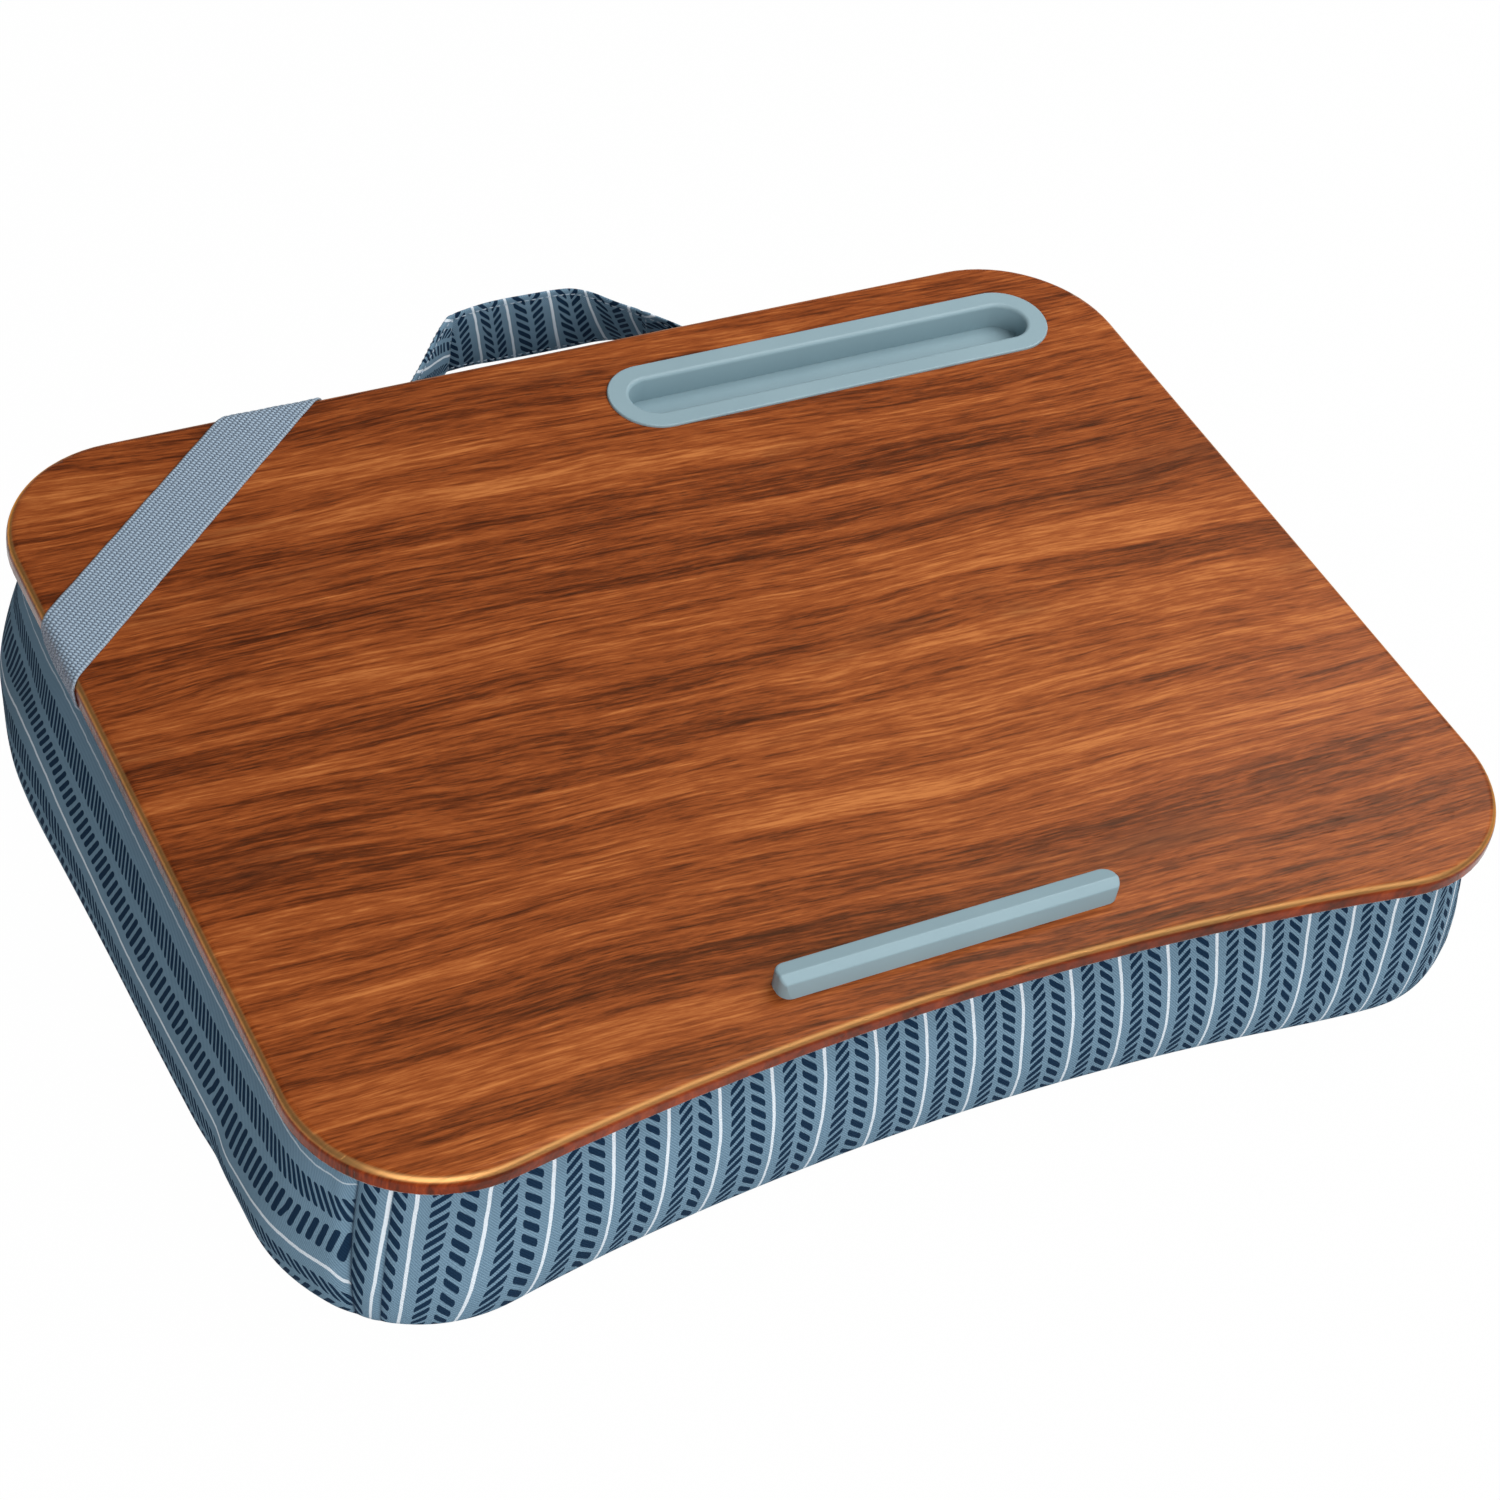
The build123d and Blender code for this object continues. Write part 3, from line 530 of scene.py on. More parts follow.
# %% Board edge
HALF_WIDTH, HALF_DEPTH = 0.226, 0.17575
CORNER_R, RECESS = 0.050, 0.014
BELLY_R = ((HALF_WIDTH - CORNER_R) ** 2 + RECESS ** 2) / (2 * RECESS) - CORNER_R
BELLY_TURN = asin((HALF_WIDTH - CORNER_R) / (BELLY_R + CORNER_R))
BELLY_RUN = (BELLY_R * BELLY_TURN, -BELLY_TURN)
FRONT_CORNER = (CORNER_R * (pi / 2 + BELLY_TURN), pi / 2 + BELLY_TURN)
BACK_CORNER = (CORNER_R * pi / 2, pi / 2)
SIDE_RUN = (2 * (HALF_DEPTH - CORNER_R), 0.0)
BACK_RUN = (2 * (HALF_WIDTH - CORNER_R), 0.0)
EDGE_RUNS = (BELLY_RUN, FRONT_CORNER, SIDE_RUN, BACK_CORNER, BACK_RUN, BACK_CORNER, SIDE_RUN,
             FRONT_CORNER, BELLY_RUN)
EDGE_LENGTH = sum(length for length, turn in EDGE_RUNS)


def board_edge(distance):
    """Point and outward direction, going to the right from the front's middle."""
    spot, heading = Vector((0, RECESS - HALF_DEPTH)), 0.0
    distance %= EDGE_LENGTH
    for length, turn in EDGE_RUNS:
        done = min(distance, length)
        bend = turn * done / length
        chord = 2 * sin(bend / 2) * length / turn if turn else done
        spot += Vector((cos(heading + bend / 2), sin(heading + bend / 2))) * chord
        heading += bend
        distance -= done
        if distance <= 0:
            break
    return spot, Vector((sin(heading), -cos(heading)))


RIGHT_SEAM = BELLY_RUN[0] + FRONT_CORNER[0] - CORNER_R * pi / 4
BACK_SEAM = RIGHT_SEAM + BACK_CORNER[0] + SIDE_RUN[0]
LEFT_SEAM = EDGE_LENGTH - RIGHT_SEAM
SEAMS = (RIGHT_SEAM, BACK_SEAM, BACK_SEAM + BACK_CORNER[0] + BACK_RUN[0], LEFT_SEAM)
print("edge", round(EDGE_LENGTH, 4), "m, corner seams at", [round(s, 4) for s in SEAMS])

# %% [markdown]
# ## The cushion
# A box cushion: four printed side panels, sewn to each other at the corners and
# to a plain base, and stapled under the board. One ring of vertices is extruded
# row by row, out to the hem, down the wall and in under the base, so that rows
# and columns follow the seams. Blender's cloth then blows it up, as the filling
# does, with hem and base held, and the seams are pinched in after that.

# %% Cushion shape
HEM_TOP, SEAM_HEIGHT = BOARD_BOTTOM - 0.0004, 0.0018
SIM_INSET = 0.0012          # room for the cloth to be blown out
COLUMN_PITCH = 0.0048
TUCK = 1.3158               # a small fold in the front panel, beside the left seam
WALL_ROWS = 13
WALL_SHARES = (0.0, 0.25, 0.52, 0.78, 1.0)
out_curve = np.polyfit(WALL_SHARES, (-0.0094, -0.0040, 0.0005, 0.0034, 0.0032), 4)
side_curve = np.polyfit(WALL_SHARES, (0.0, 0.0025, 0.0050, 0.0065, 0.0050), 4)
back_curve = np.polyfit(WALL_SHARES, (0.0, 0.0006, 0.0012, 0.0015, 0.0012), 4)
# How much further the filling pushes the cloth out low on the wall, along the edge.
FULLNESS = (
    (0.0, 3.4), (0.05, 3.2), (0.1, 3.0), (0.146, 3.2), (0.17, 1.6), (0.202, -3.5), (0.228, -4.5),
    (0.29, -1.0), (0.38, 3.0), (0.5461, 1.0), (0.7612, 1.5), (0.93, 0.6), (0.985, -2.6), (1.01, -2.2),
    (1.04, 5.8), (1.0654, 8.2), (1.1, 5.8), (1.1419, 3.8), (1.2112, 2.6), (1.242, 2.2), (1.2766, 1.4),
    (1.295, 4.9), (1.31, 6.4), (1.345, 5.4), (1.38, 4.6), (1.4225, 4.2),
)


def fullness(distance):
    """The push at a distance along the edge, averaged over two fingers' breadth."""
    places, pushes = zip(*FULLNESS)
    window = distance + np.linspace(-0.022, 0.022, 11)
    return float(np.interp(window, places, pushes, period=EDGE_LENGTH).mean()) / 1000


SEAM_START, SEAM_LEAN = -0.0077, 0.0106     # of the front left seam: at the hem, and down the wall
FRONT_REACH, SIDE_REACH = 0.0115, 0.030     # how much cloth on either side leans with it


def seam_shift(distance, share):
    """The front left seam leans: how far the cloth beside it lies from its even place."""
    past = (distance - LEFT_SEAM + EDGE_LENGTH / 2) % EDGE_LENGTH - EDGE_LENGTH / 2
    reach = FRONT_REACH if past > 0 else SIDE_REACH
    return (SEAM_START + SEAM_LEAN * share) * max(0.0, 1 - abs(past) / reach)


def cushion_wall(distance, share, inset=0.0):
    """A point of the wall: `share` goes from 0 at the hem to 1 at the base seam."""
    distance += seam_shift(distance, share)
    spot, outward = board_edge(distance)
    push = fullness(distance) * min(1.0, share / 0.75) ** 1.3
    spot = spot + outward * (float(np.polyval(out_curve, share)) + push - inset)
    flat_side = max(0.0, 1 - (spot.y / HALF_DEPTH) ** 2) * abs(outward.x) ** 3
    flat_back = max(0.0, 1 - (spot.x / HALF_WIDTH) ** 2) * max(0.0, outward.y) ** 3
    spot.x += float(np.polyval(side_curve, share)) * flat_side * (1 if spot.x > 0 else -1)
    spot.y += float(np.polyval(back_curve, share)) * flat_back
    return Vector((spot.x, spot.y, HEM_TOP - share * (HEM_TOP - SEAM_HEIGHT)))


# Columns: close together at the seams and the tuck, and evenly spaced between them.
SEAM_STEPS, TUCK_STEPS = (-6, -4, -2.4, -1.2, 0, 1.2, 2.4, 4), (-4, -2.4, -1, 0, 1, 2.4, 4, 7)   # mm
marks = [seam + step / 1000 for seam in SEAMS for step in SEAM_STEPS]
marks = sorted(marks + [TUCK + step / 1000 for step in TUCK_STEPS])
columns = []
for start, end in zip(marks, (*marks[1:], marks[0] + EDGE_LENGTH)):
    count = max(1, round((end - start) / COLUMN_PITCH))
    columns += [start + (end - start) * i / count for i in range(count)]

# The rows above and below the wall: how far inside the edge, and how high.
SUNKEN_ROWS = ((0.030, 0.0480), (0.0225, 0.0536), (0.0140, HEM_TOP - 0.0028))
BASE_LEVEL, BASE_INSETS = 0.0012, (0.0015, 0.0050, 0.0160, 0.0300)
FIRST_WALL_ROW = len(SUNKEN_ROWS)


def ring_places():
    """Rows of the cushion from its sunken top to its base, as lists of points."""
    for inset, level in SUNKEN_ROWS:
        yield [(*(board_edge(s)[0] - board_edge(s)[1] * inset), level) for s in columns]
    for row in range(WALL_ROWS):
        yield [cushion_wall(s, row / (WALL_ROWS - 1), SIM_INSET) for s in columns]
    for inset in BASE_INSETS:
        ring = [cushion_wall(s, 1.0, SIM_INSET + inset) for s in columns]
        yield [(p.x, p.y, BASE_LEVEL) for p in ring]


form = bmesh.new()
row_layer, column_layer = (form.verts.layers.int.new(name) for name in ("row", "column"))
rows = list(ring_places())
bmesh.ops.create_circle(form, cap_ends=False, segments=len(columns), radius=0.2)
form.verts.ensure_lookup_table()
ring = sorted(form.verts, key=lambda v: atan2(v.co.y, v.co.x))
start_column = min(range(len(columns)), key=lambda i: atan2(rows[0][i][1], rows[0][i][0]))
for turn, vertex in enumerate(ring):
    vertex[column_layer] = (start_column + turn) % len(columns)


def place_ring(vertices, number):
    """Puts one row of the cushion in place."""
    for vertex in vertices:
        vertex.co = rows[number][vertex[column_layer]]


place_ring(ring, 0)
caps = extrude(form, row_layer, column_layer, len(rows), place_ring)
bmesh.ops.triangulate(form, faces=caps, ngon_method="BEAUTY")
bmesh.ops.recalc_face_normals(form, faces=form.faces)
put_in_order(form)
cushion, cushion_mesh = object_from(form, "cushion", "cushion")
vertex_row = np.array([d.value for d in cushion_mesh.attributes["row"].data])
vertex_column = np.array([d.value for d in cushion_mesh.attributes["column"].data])
LAST_WALL_ROW = FIRST_WALL_ROW + WALL_ROWS - 1
print("cushion", len(rows), "rows of", len(columns), "vertices")


# %% Blow it up
def read_vertices(mesh, what="co"):
    """The places or the normals of a mesh's vertices, as an array."""
    values = np.zeros(len(mesh.vertices) * 3)
    mesh.vertices.foreach_get(what, values)
    return values.reshape(-1, 3)


def set_positions(mesh, points):
    """Moves a mesh's vertices to the places in an array."""
    mesh.vertices.foreach_set("co", np.asarray(points, float).ravel())
    mesh.update()


LARGEST_MOVE, MOMENTS = 0.0035, 20      # metres, and frames of the simulation
held = cushion.vertex_groups.new(name="held")
for index, row in enumerate(vertex_row):
    if row <= FIRST_WALL_ROW or row > LAST_WALL_ROW:
        held.add([index], 1.0, "REPLACE")
sim = cushion.modifiers.new("fill", "CLOTH")
fabric = sim.settings
fabric.quality, fabric.mass = 7, 0.3
fabric.tension_stiffness = fabric.compression_stiffness = 30.0
fabric.shear_stiffness, fabric.bending_stiffness = 8.0, 1.2
fabric.use_pressure, fabric.uniform_pressure_force = True, 4.0
fabric.effector_weights.gravity = 0.0
fabric.vertex_group_mass = "held"
sim.collision_settings.use_collision = False
before = read_vertices(cushion_mesh)
for moment in range(MOMENTS):
    scene.frame_set(moment + 1)
blown = cushion.evaluated_get(bpy.context.evaluated_depsgraph_get())
move = read_vertices(blown.data) - before
size = np.linalg.norm(move, axis=1, keepdims=True)
print("cloth moved up to", round(float(size.max()) * 1000, 2), "mm")
move *= np.minimum(1.0, LARGEST_MOVE / np.maximum(size, 1e-9))
cushion.modifiers.remove(sim)
cushion.vertex_groups.remove(held)
scene.frame_set(1)
set_positions(cushion_mesh, before + move)

# %% [markdown]
# ## Seams and puckers
# Where two panels are sewn together, the thread pulls the cloth in, and the
# cloth beside it swells over the seam allowance. The gathers under the hem come
# from the staples. All of these are small moves along the normals.


# %% Seams
def near(values, centre, width):
    """1 at the centre, falling smoothly to 0 at `width` on either side."""
    return np.clip(1 - np.abs(values - centre) / width, 0, 1) ** 2


column_distance = np.array(columns)[vertex_column]
wall_share = (vertex_row - FIRST_WALL_ROW) / (WALL_ROWS - 1)
on_wall = (vertex_row >= FIRST_WALL_ROW) & (vertex_row <= LAST_WALL_ROW)
mesh_normals = read_vertices(cushion_mesh, "normal")
lift = np.zeros(len(mesh_normals))
SEAM_DEPTH, TUCK_DEPTH, DENT_DEPTH = 0.0026, 0.0014, 0.0009
DENT = 1.238                # where the left panel sinks in low down, along the edge
for seam in SEAMS:
    gap = np.abs(column_distance - seam % EDGE_LENGTH)
    gap = np.minimum(gap, EDGE_LENGTH - gap)
    lift += near(gap, 0.0065, 0.006) * 0.0008 - near(gap, 0.0, 0.0042) * SEAM_DEPTH
lift += near(column_distance, TUCK + 0.003, 0.004) * 0.0006
lift -= near(column_distance, TUCK, 0.0025) * TUCK_DEPTH
lift *= 1 - 0.8 * near(wall_share, 1.0, 0.35)
lift -= near(column_distance, DENT, 0.016) * np.clip(wall_share * 2 - 0.8, 0, 1) * DENT_DEPTH
draws = random.Random(7)
pucker = np.zeros(len(lift))
place = 0.0
while place < EDGE_LENGTH:
    width, depth, down = draws.uniform(0.005, 0.011), draws.uniform(-0.0007, 0.0005), draws.uniform(0.2, 0.6)
    lean = draws.uniform(-0.012, 0.012)
    fall = np.clip(1 - wall_share / down, 0, 1)
    pucker += near(column_distance + lean * wall_share, place, width) * depth * fall
    place += draws.uniform(0.008, 0.022)
lift += pucker - near(wall_share, 1.0, 0.05) * 0.0004
fade_hem = np.clip(wall_share * 6, 0.15, 1)
points = read_vertices(cushion_mesh) + mesh_normals * (lift * on_wall * fade_hem)[:, None]
set_positions(cushion_mesh, points)
print("deepest seam", round(float(lift[on_wall].min()) * 1000, 2), "mm")

# %% [markdown]
# ## How the print lies on each panel
# The stripes stand upright on the front and lie level on the sides, so each panel
# has its own turn, size and start of the print. Sewn cloth is never laid quite
# evenly: two tables say how far along the edge each white line of the front runs
# near the hem and near the base, and one how low the sides' lower line lies.


# %% Print maps
FRONT_TOP = (
    1322.7, 1349.6, 1372.3, 1393.8, 1413.8, 1432.4, 1451.6, 1471.3, 1490.2, 1509.1, 1526.7, 1545.6, 1564.6,
    1583.4, 1601.9, 1621.0, 1639.2, 1657.0, 1674.7, 1691.4, 1713.6, 1732.0, 1750.3,
)
FRONT_LOW = (
    1321.4, 1336.4, 1359.0, 1385.5, 1404.6, 1425.3, 1448.7, 1466.0, 1489.0, 1508.5, 1527.6, 1546.5, 1566.0,
    1585.1, 1603.3, 1620.4, 1637.8, 1653.1, 1669.2, 1685.2, 1700.9, 1717.0, 1733.3,
)
WALL_CLOTH = 0.055          # cloth between hem and base, in metres
SIDE_LINE = (
    (1000, 0.76), (1022, 0.75), (1034, 0.69), (1045, 0.625), (1062, 0.58), (1082, 0.577), (1098, 0.603),
    (1130, 0.63), (1164, 0.669), (1224, 0.672), (1240, 0.70), (1247, 0.76), (1260, 0.75), (1275, 0.723),
    (1301, 0.705), (1307, 0.77),
)


def print_place(panel, distance, share):
    """Repeats across and dashes along, for one panel. `along` is in mm, as the tables are."""
    distance += seam_shift(distance, share)
    if panel in ("left", "right"):
        along = distance * 1000 if panel == "left" else (LEFT_SEAM + RIGHT_SEAM - distance) * 1000
        line = float(np.interp(along, *zip(*SIDE_LINE)))
        first = float(np.interp(along, (1030, 1060, 1226, 1285, 1302), (0.28, 0.236, 0.242, 0.224, 0.205)))
        short = line - float(np.interp(along, (1241, 1290), (0.055, 0.12)))
        stops = (0.0, first, first + 0.05, 0.405, 0.452, short, line, 1.0)
        repeats = (-0.33, 0.0, 0.20, 0.465, 0.56, 0.845, 1.0, 1.0 + (1 - line) * 3)
        across = float(np.interp(share, stops, repeats))
        shear = float(np.interp(share, (0, 0.43, 1.0), (0, 12.9, 23.2)))
        return across, (along - shear) / 3.5
    if panel == "back":
        return (distance - 0.0092) / 0.0183, -share * 0.0555 / 0.0040
    along = (distance if distance > EDGE_LENGTH / 2 else distance + EDGE_LENGTH) * 1000
    down = -share * (1.16 - 0.18 * share) * 55.5 / 4.0
    if panel == "tuck":
        return (along - 1313.6) / (26 - 13 * share) + 4, down + 0.3
    high, low = (float(np.interp(along, lines, range(len(lines)))) for lines in (FRONT_TOP, FRONT_LOW))
    if along < FRONT_TOP[0]:
        high, low = (along - FRONT_TOP[0]) / 20, (along - FRONT_LOW[0]) / 20
    return high + (low - high) * (share - 0.17) / 0.78 + 5, down


PANELS = ("front", "right", "back", "left", "tuck", "front")        # between the seams and the tuck
print_layer = cushion_mesh.uv_layers.new(name="Print")
weave_layer = cushion_mesh.uv_layers.new(name="Weave")
corner_stretch_and_shade = np.ones(len(cushion_mesh.loops), np.float32)
for face in cushion_mesh.polygons:
    distances = [columns[vertex_column[v]] % EDGE_LENGTH for v in face.vertices]
    if max(distances) - min(distances) > EDGE_LENGTH / 2:
        distances = [d + EDGE_LENGTH if d < EDGE_LENGTH / 2 else d for d in distances]
    centre = (sum(distances) / 4) % EDGE_LENGTH
    panel = PANELS[sum(centre > seam for seam in (*SEAMS, TUCK))]
    for corner, vertex, distance in zip(face.loop_indices, face.vertices, distances):
        share = float(wall_share[vertex])
        print_layer.data[corner].uv = print_place(panel, distance, share)
        weave_layer.data[corner].uv = (distance, share * WALL_CLOTH)
        # The stretch number thins the white lines and also dims them as painted shade. It is highest on the
        # sides just under the board.
        corner_stretch_and_shade[corner] = 1 + 0.35 * share
        if panel in ("left", "right"):
            corner_stretch_and_shade[corner] = 3.6 if share < 0.35 else 1.6
# Points on the seams and the tuck get a number for the dark line of painted shade there.
painted_seam_shade = np.zeros(len(cushion_mesh.vertices), np.float32)
for spot, depth in [(seam, 1.0) for seam in SEAMS] + [(TUCK, 0.8)]:
    painted_seam_shade[on_wall & (np.abs(column_distance - spot) < 0.0003)] = depth
set_numbers(cushion_mesh, "painted_seam_shade", "POINT", painted_seam_shade)
set_numbers(cushion_mesh, "stretch_and_shade", "CORNER", corner_stretch_and_shade)
cushion_mesh.materials.append(cloth.material)
cushion_mesh.shade_smooth()
smooth = cushion.modifiers.new("finer cloth", "SUBSURF")
smooth.levels = smooth.render_levels = 1
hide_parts("front_panel", "right_panel", "back_panel", "left_panel", "bead_fill")
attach(cushion, "desk")

# %% [markdown]
# ## Base of the cushion
# The base is a plain tightly woven cloth that slides on trousers and does not
# show dirt. It is one flat piece, drawn tight between the four side panels.

# %% Base cloth
BASE_CLOTH_INSET, BASE_CLOTH_FACE, BASE_CLOTH_TOP = 0.0060, 0.0002, 0.0009
base_form = bmesh.new()
base_uv = base_form.loops.layers.uv.new("Weave")
outline = [cushion_wall(s, 1.0, SIM_INSET + BASE_CLOTH_INSET) for s in columns]
corners = [base_form.verts.new((p.x, p.y, BASE_CLOTH_FACE)) for p in outline]
base_form.faces.new(corners)
thick_part = bmesh.ops.extrude_face_region(base_form, geom=list(base_form.faces))["geom"]
for vertex in (part for part in thick_part if isinstance(part, bmesh.types.BMVert)):
    vertex.co.z = BASE_CLOTH_TOP
bmesh.ops.triangulate(base_form, faces=[f for f in base_form.faces if len(f.verts) > 4], ngon_method="BEAUTY")
bmesh.ops.recalc_face_normals(base_form, faces=base_form.faces)
for face in base_form.faces:
    for loop in face.loops:
        loop[base_uv].uv = loop.vert.co.xy
base_area = sum(f.calc_area() for f in base_form.faces if f.normal.z < -0.9)
base, base_mesh = object_from(base_form, "cushion_base", "base cloth")
base_mesh.materials.append(base_cloth.material)
width, length = (max(p[i] for p in outline) - min(p[i] for p in outline) for i in (0, 1))
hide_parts("bottom_panel")
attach(base, "desk")
print("base cloth", round(width, 3), "by", round(length, 3), "m, area", round(base_area, 4))

# %% [markdown]
# ## Elastic strap
# A one-inch woven elastic lies across the back left corner and is stapled under
# the board. It is a flat grid, bent over both edges as a ribbon folds: a point
# that is past an edge goes round its profile by the same length.

# %% Strap path
STRAP_WIDTH, STRAP_THICK, STRAP_GAP = 0.0254, 0.0012, 0.00015
STRAP_BACK_X, STRAP_LEFT_Y, STRAP_TAIL = -0.112, 0.0775, 0.036
EDGE_TOP_R, EDGE_BOTTOM_R = 0.0035, 0.0012
strap_along = Vector((STRAP_BACK_X + HALF_WIDTH, HALF_DEPTH - STRAP_LEFT_Y)).normalized()
strap_across = Vector((-strap_along.y, strap_along.x))
strap_middle = Vector(((STRAP_BACK_X - HALF_WIDTH) / 2, (HALF_DEPTH + STRAP_LEFT_Y) / 2))
RIBS, PICK_PITCH = 14, 0.0014


def over_edge(past, lift):
    """A point `past` the start of the edge's round: how far out, how high, and the length
    that the two rounds take up."""
    top_r, low_r = EDGE_TOP_R + lift, EDGE_BOTTOM_R + lift
    fall = BOARD_TOP - BOARD_BOTTOM - EDGE_TOP_R - EDGE_BOTTOM_R
    top_arc, low_arc = top_r * pi / 2, low_r * pi / 2
    if past < top_arc:
        turn = past / top_r
        return top_r * sin(turn), top_r * cos(turn) - EDGE_TOP_R, past - top_r * sin(turn)
    lost = top_arc - top_r
    if past < top_arc + fall:
        return top_r, top_arc - past - EDGE_TOP_R, lost
    past -= top_arc + fall
    low = -EDGE_TOP_R - fall
    if past < low_arc:
        turn = past / low_r
        return top_r - low_r * (1 - cos(turn)), low - low_r * sin(turn), lost + past - low_r * (1 - cos(turn))
    return top_r - low_r - (past - low_arc), low - low_r, lost + low_arc - low_r


def strap_place(length, side, lift):
    """Where a point of the flat strap comes to lie."""
    spot = strap_middle + strap_along * length + strap_across * side
    for outward, half in ((Vector((0, 1)), HALF_DEPTH), (Vector((-1, 0)), HALF_WIDTH)):
        start = half - EDGE_TOP_R
        past = spot.dot(outward) - start
        if past > 0:
            out, high, lost = over_edge(past, lift)
            spot -= strap_along * (lost / strap_along.dot(outward))
            spot += outward * (start + out - spot.dot(outward))
            return Vector((*spot, BOARD_TOP + high))
    return Vector((*spot, BOARD_TOP + lift))


# %% Strap mesh
STRAP_HALF_LENGTH = 0.0752 + 0.024 + STRAP_TAIL     # half the corner, round the edge, and under
ribbon = bmesh.new()
ribbon_uv = ribbon.loops.layers.uv.new("Weave")
bmesh.ops.create_grid(ribbon, x_segments=RIBS * 4, y_segments=300, size=0.5)
flat = {v: (v.co.y * 2 * STRAP_HALF_LENGTH, v.co.x * STRAP_WIDTH) for v in ribbon.verts}
for face in ribbon.faces:
    for loop in face.loops:
        loop[ribbon_uv].uv = (flat[loop.vert][1], flat[loop.vert][0])
for vertex, (length, side) in flat.items():
    rib_height = abs(sin((side / STRAP_WIDTH + 0.5) * RIBS * pi)) ** 0.7
    wave = 0.00010 * sin(length * 210 + side * 60) + 0.00007 * sin(length * 430 - side * 90)
    edge_drop = 0.00025 * max(0.0, abs(side) / (STRAP_WIDTH / 2) - 0.93) / 0.07
    raised = STRAP_GAP + STRAP_THICK * 0.72 + rib_height * 0.00022 + wave - edge_drop
    vertex.co = strap_place(length, side, raised)
bmesh.ops.recalc_face_normals(ribbon, faces=ribbon.faces)
top_face = max(ribbon.faces, key=lambda f: f.calc_center_median().z)
if top_face.normal.z < 0:
    bmesh.ops.reverse_faces(ribbon, faces=ribbon.faces)
strap, strap_mesh = object_from(ribbon, "corner_strap", "elastic strap")
thickness = strap.modifiers.new("thickness", "SOLIDIFY")
thickness.thickness, thickness.offset = STRAP_THICK * 0.75, -1.0
strap_mesh.shade_smooth()

elastic = Finish("woven elastic", Roughness=0.78, Sheen_Weight=0.15, Specular_IOR_Level=0.3)
strap_u, strap_v, _ = elastic.parts(elastic.laid("Weave"))
rib_sine = elastic.maths("SINE", (strap_u / STRAP_WIDTH + 0.5) * (RIBS * pi))
rib_wave = abs(rib_sine)
# The weft crosses neighbouring ribs half a pick apart.
pick_phase = strap_v * (2 * pi / PICK_PITCH) + elastic.maths("SIGN", rib_sine) * 1.57
picks = elastic.maths("SINE", pick_phase) * 0.5 + 0.5
selvedge = elastic.step(abs(strap_u), STRAP_WIDTH * 0.46, STRAP_WIDTH * 0.485)
yarn = elastic.noise(elastic.laid("Weave"), 1500.0, 2.0)
# Yarn colour, with painted shade in the valleys between the ribs and a painted highlight on their crests.
weave_tone_and_rib_shade = picks * 0.8 + rib_wave * 0.3 + yarn * 0.4 - 0.25
elastic_colour = elastic.blend(weave_tone_and_rib_shade, paint(52, 66, 90), paint(176, 198, 216))
# Round the edge the elastic is stretched, and its pale core shows between the yarns.
strap_z = elastic.parts(elastic.place())[2]
rim_part = elastic.step(strap_z, BOARD_TOP + 0.0004, BOARD_TOP - 0.0016)
speckle = elastic.step(elastic.noise(elastic.place(), 2100.0, 1.0), 0.42, 0.60)
speckle = elastic.blend(speckle, paint(92, 96, 112), paint(168, 172, 184))
elastic_colour = elastic.blend(rim_part * 0.75, elastic_colour, speckle)
elastic_colour = elastic.blend(selvedge * 0.4, elastic_colour, paint(166, 180, 192))
elastic.give("Base Color", elastic_colour)
elastic.bump(picks * 0.5 + rib_wave * 0.8 + yarn * 0.3, 0.00022)
strap_mesh.materials.append(elastic.material)
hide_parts("elastic_strap")
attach(strap, "desk")
print("strap", len(strap_mesh.polygons), "faces,", round(2 * STRAP_HALF_LENGTH, 3), "m long")

# %% [markdown]
# ## Carry handle
# The handle is one length of the printed cloth, folded over webbing and sewn
# flat to the back panel at both ends. It is a flattened ring, extruded along the
# band from one end to the other, so that the print and the seams follow it.

# %% Handle path
BAND_HALF_THICK, SEAM_LINE = 0.0015, 0.86       # metres, and a share of the band's half height
# Stations from the left foot to the right one, in mm: the top edge, then the bottom edge.
STATIONS = np.array((
    (-76, 171.4, 53.8, -76, 181.9, 22.2), (-70, 171.6, 53.8, -70, 182, 22.2),
    (-64, 172.2, 53.8, -64, 182.2, 22.2), (-59, 174.5, 53.8, -59, 182.6, 22.2),
    (-55.5, 180, 54, -55, 184, 22.4), (-51, 186.2, 54.2, -50, 188.2, 23.2),
    (-42, 196, 55, -41, 196.8, 25.2), (-31, 208.5, 56.2, -31.5, 207.2, 28),
    (-24.8, 214.6, 56.9, -25.2, 213, 29.5), (-21.3, 216.5, 57.1, -22, 215.2, 29.8),
    (-10, 218, 57.9, -10.5, 217.8, 28.2), (0, 218.5, 58.1, 0, 218.8, 26.9),
    (12, 218.5, 57.9, 12, 219, 26.4), (24, 218.5, 57.5, 24.5, 219, 26.3), (31.2, 218, 56.7, 35, 219, 26.3),
    (37.8, 214.3, 56, 45.5, 219, 26.3), (45, 208, 54.6, 55, 217, 26.2), (53, 200, 54.2, 63, 210.5, 25.5),
    (61, 191, 54, 69.5, 201.5, 24.5), (67, 183, 53.8, 74, 192, 23.2), (71, 176, 53.8, 77, 185, 22.4),
    (75, 172.8, 53.8, 80, 182.5, 22.2), (80, 171.6, 53.8, 84, 182, 22.2),
    (85, 171.4, 53.8, 88, 181.9, 22.2),
))
LEFT_JOIN, RIGHT_JOIN = 9, 17       # the stations where the grip is sewn to the tabs
GRIP_LINES = (-6.3, 12.2, 26.5, 45.6, 63.8, 82.1, 100.4)    # white lines, in mm from the left join
GRIP_LEAN, TAB_LEAN = 0.24, 0.62    # how the print slants on the grip and on the tabs
HALF_CLOTH = 0.0155                 # half the height of the band's cloth, in metres
SECTION_POINTS, BAND_STEPS = 28, 8


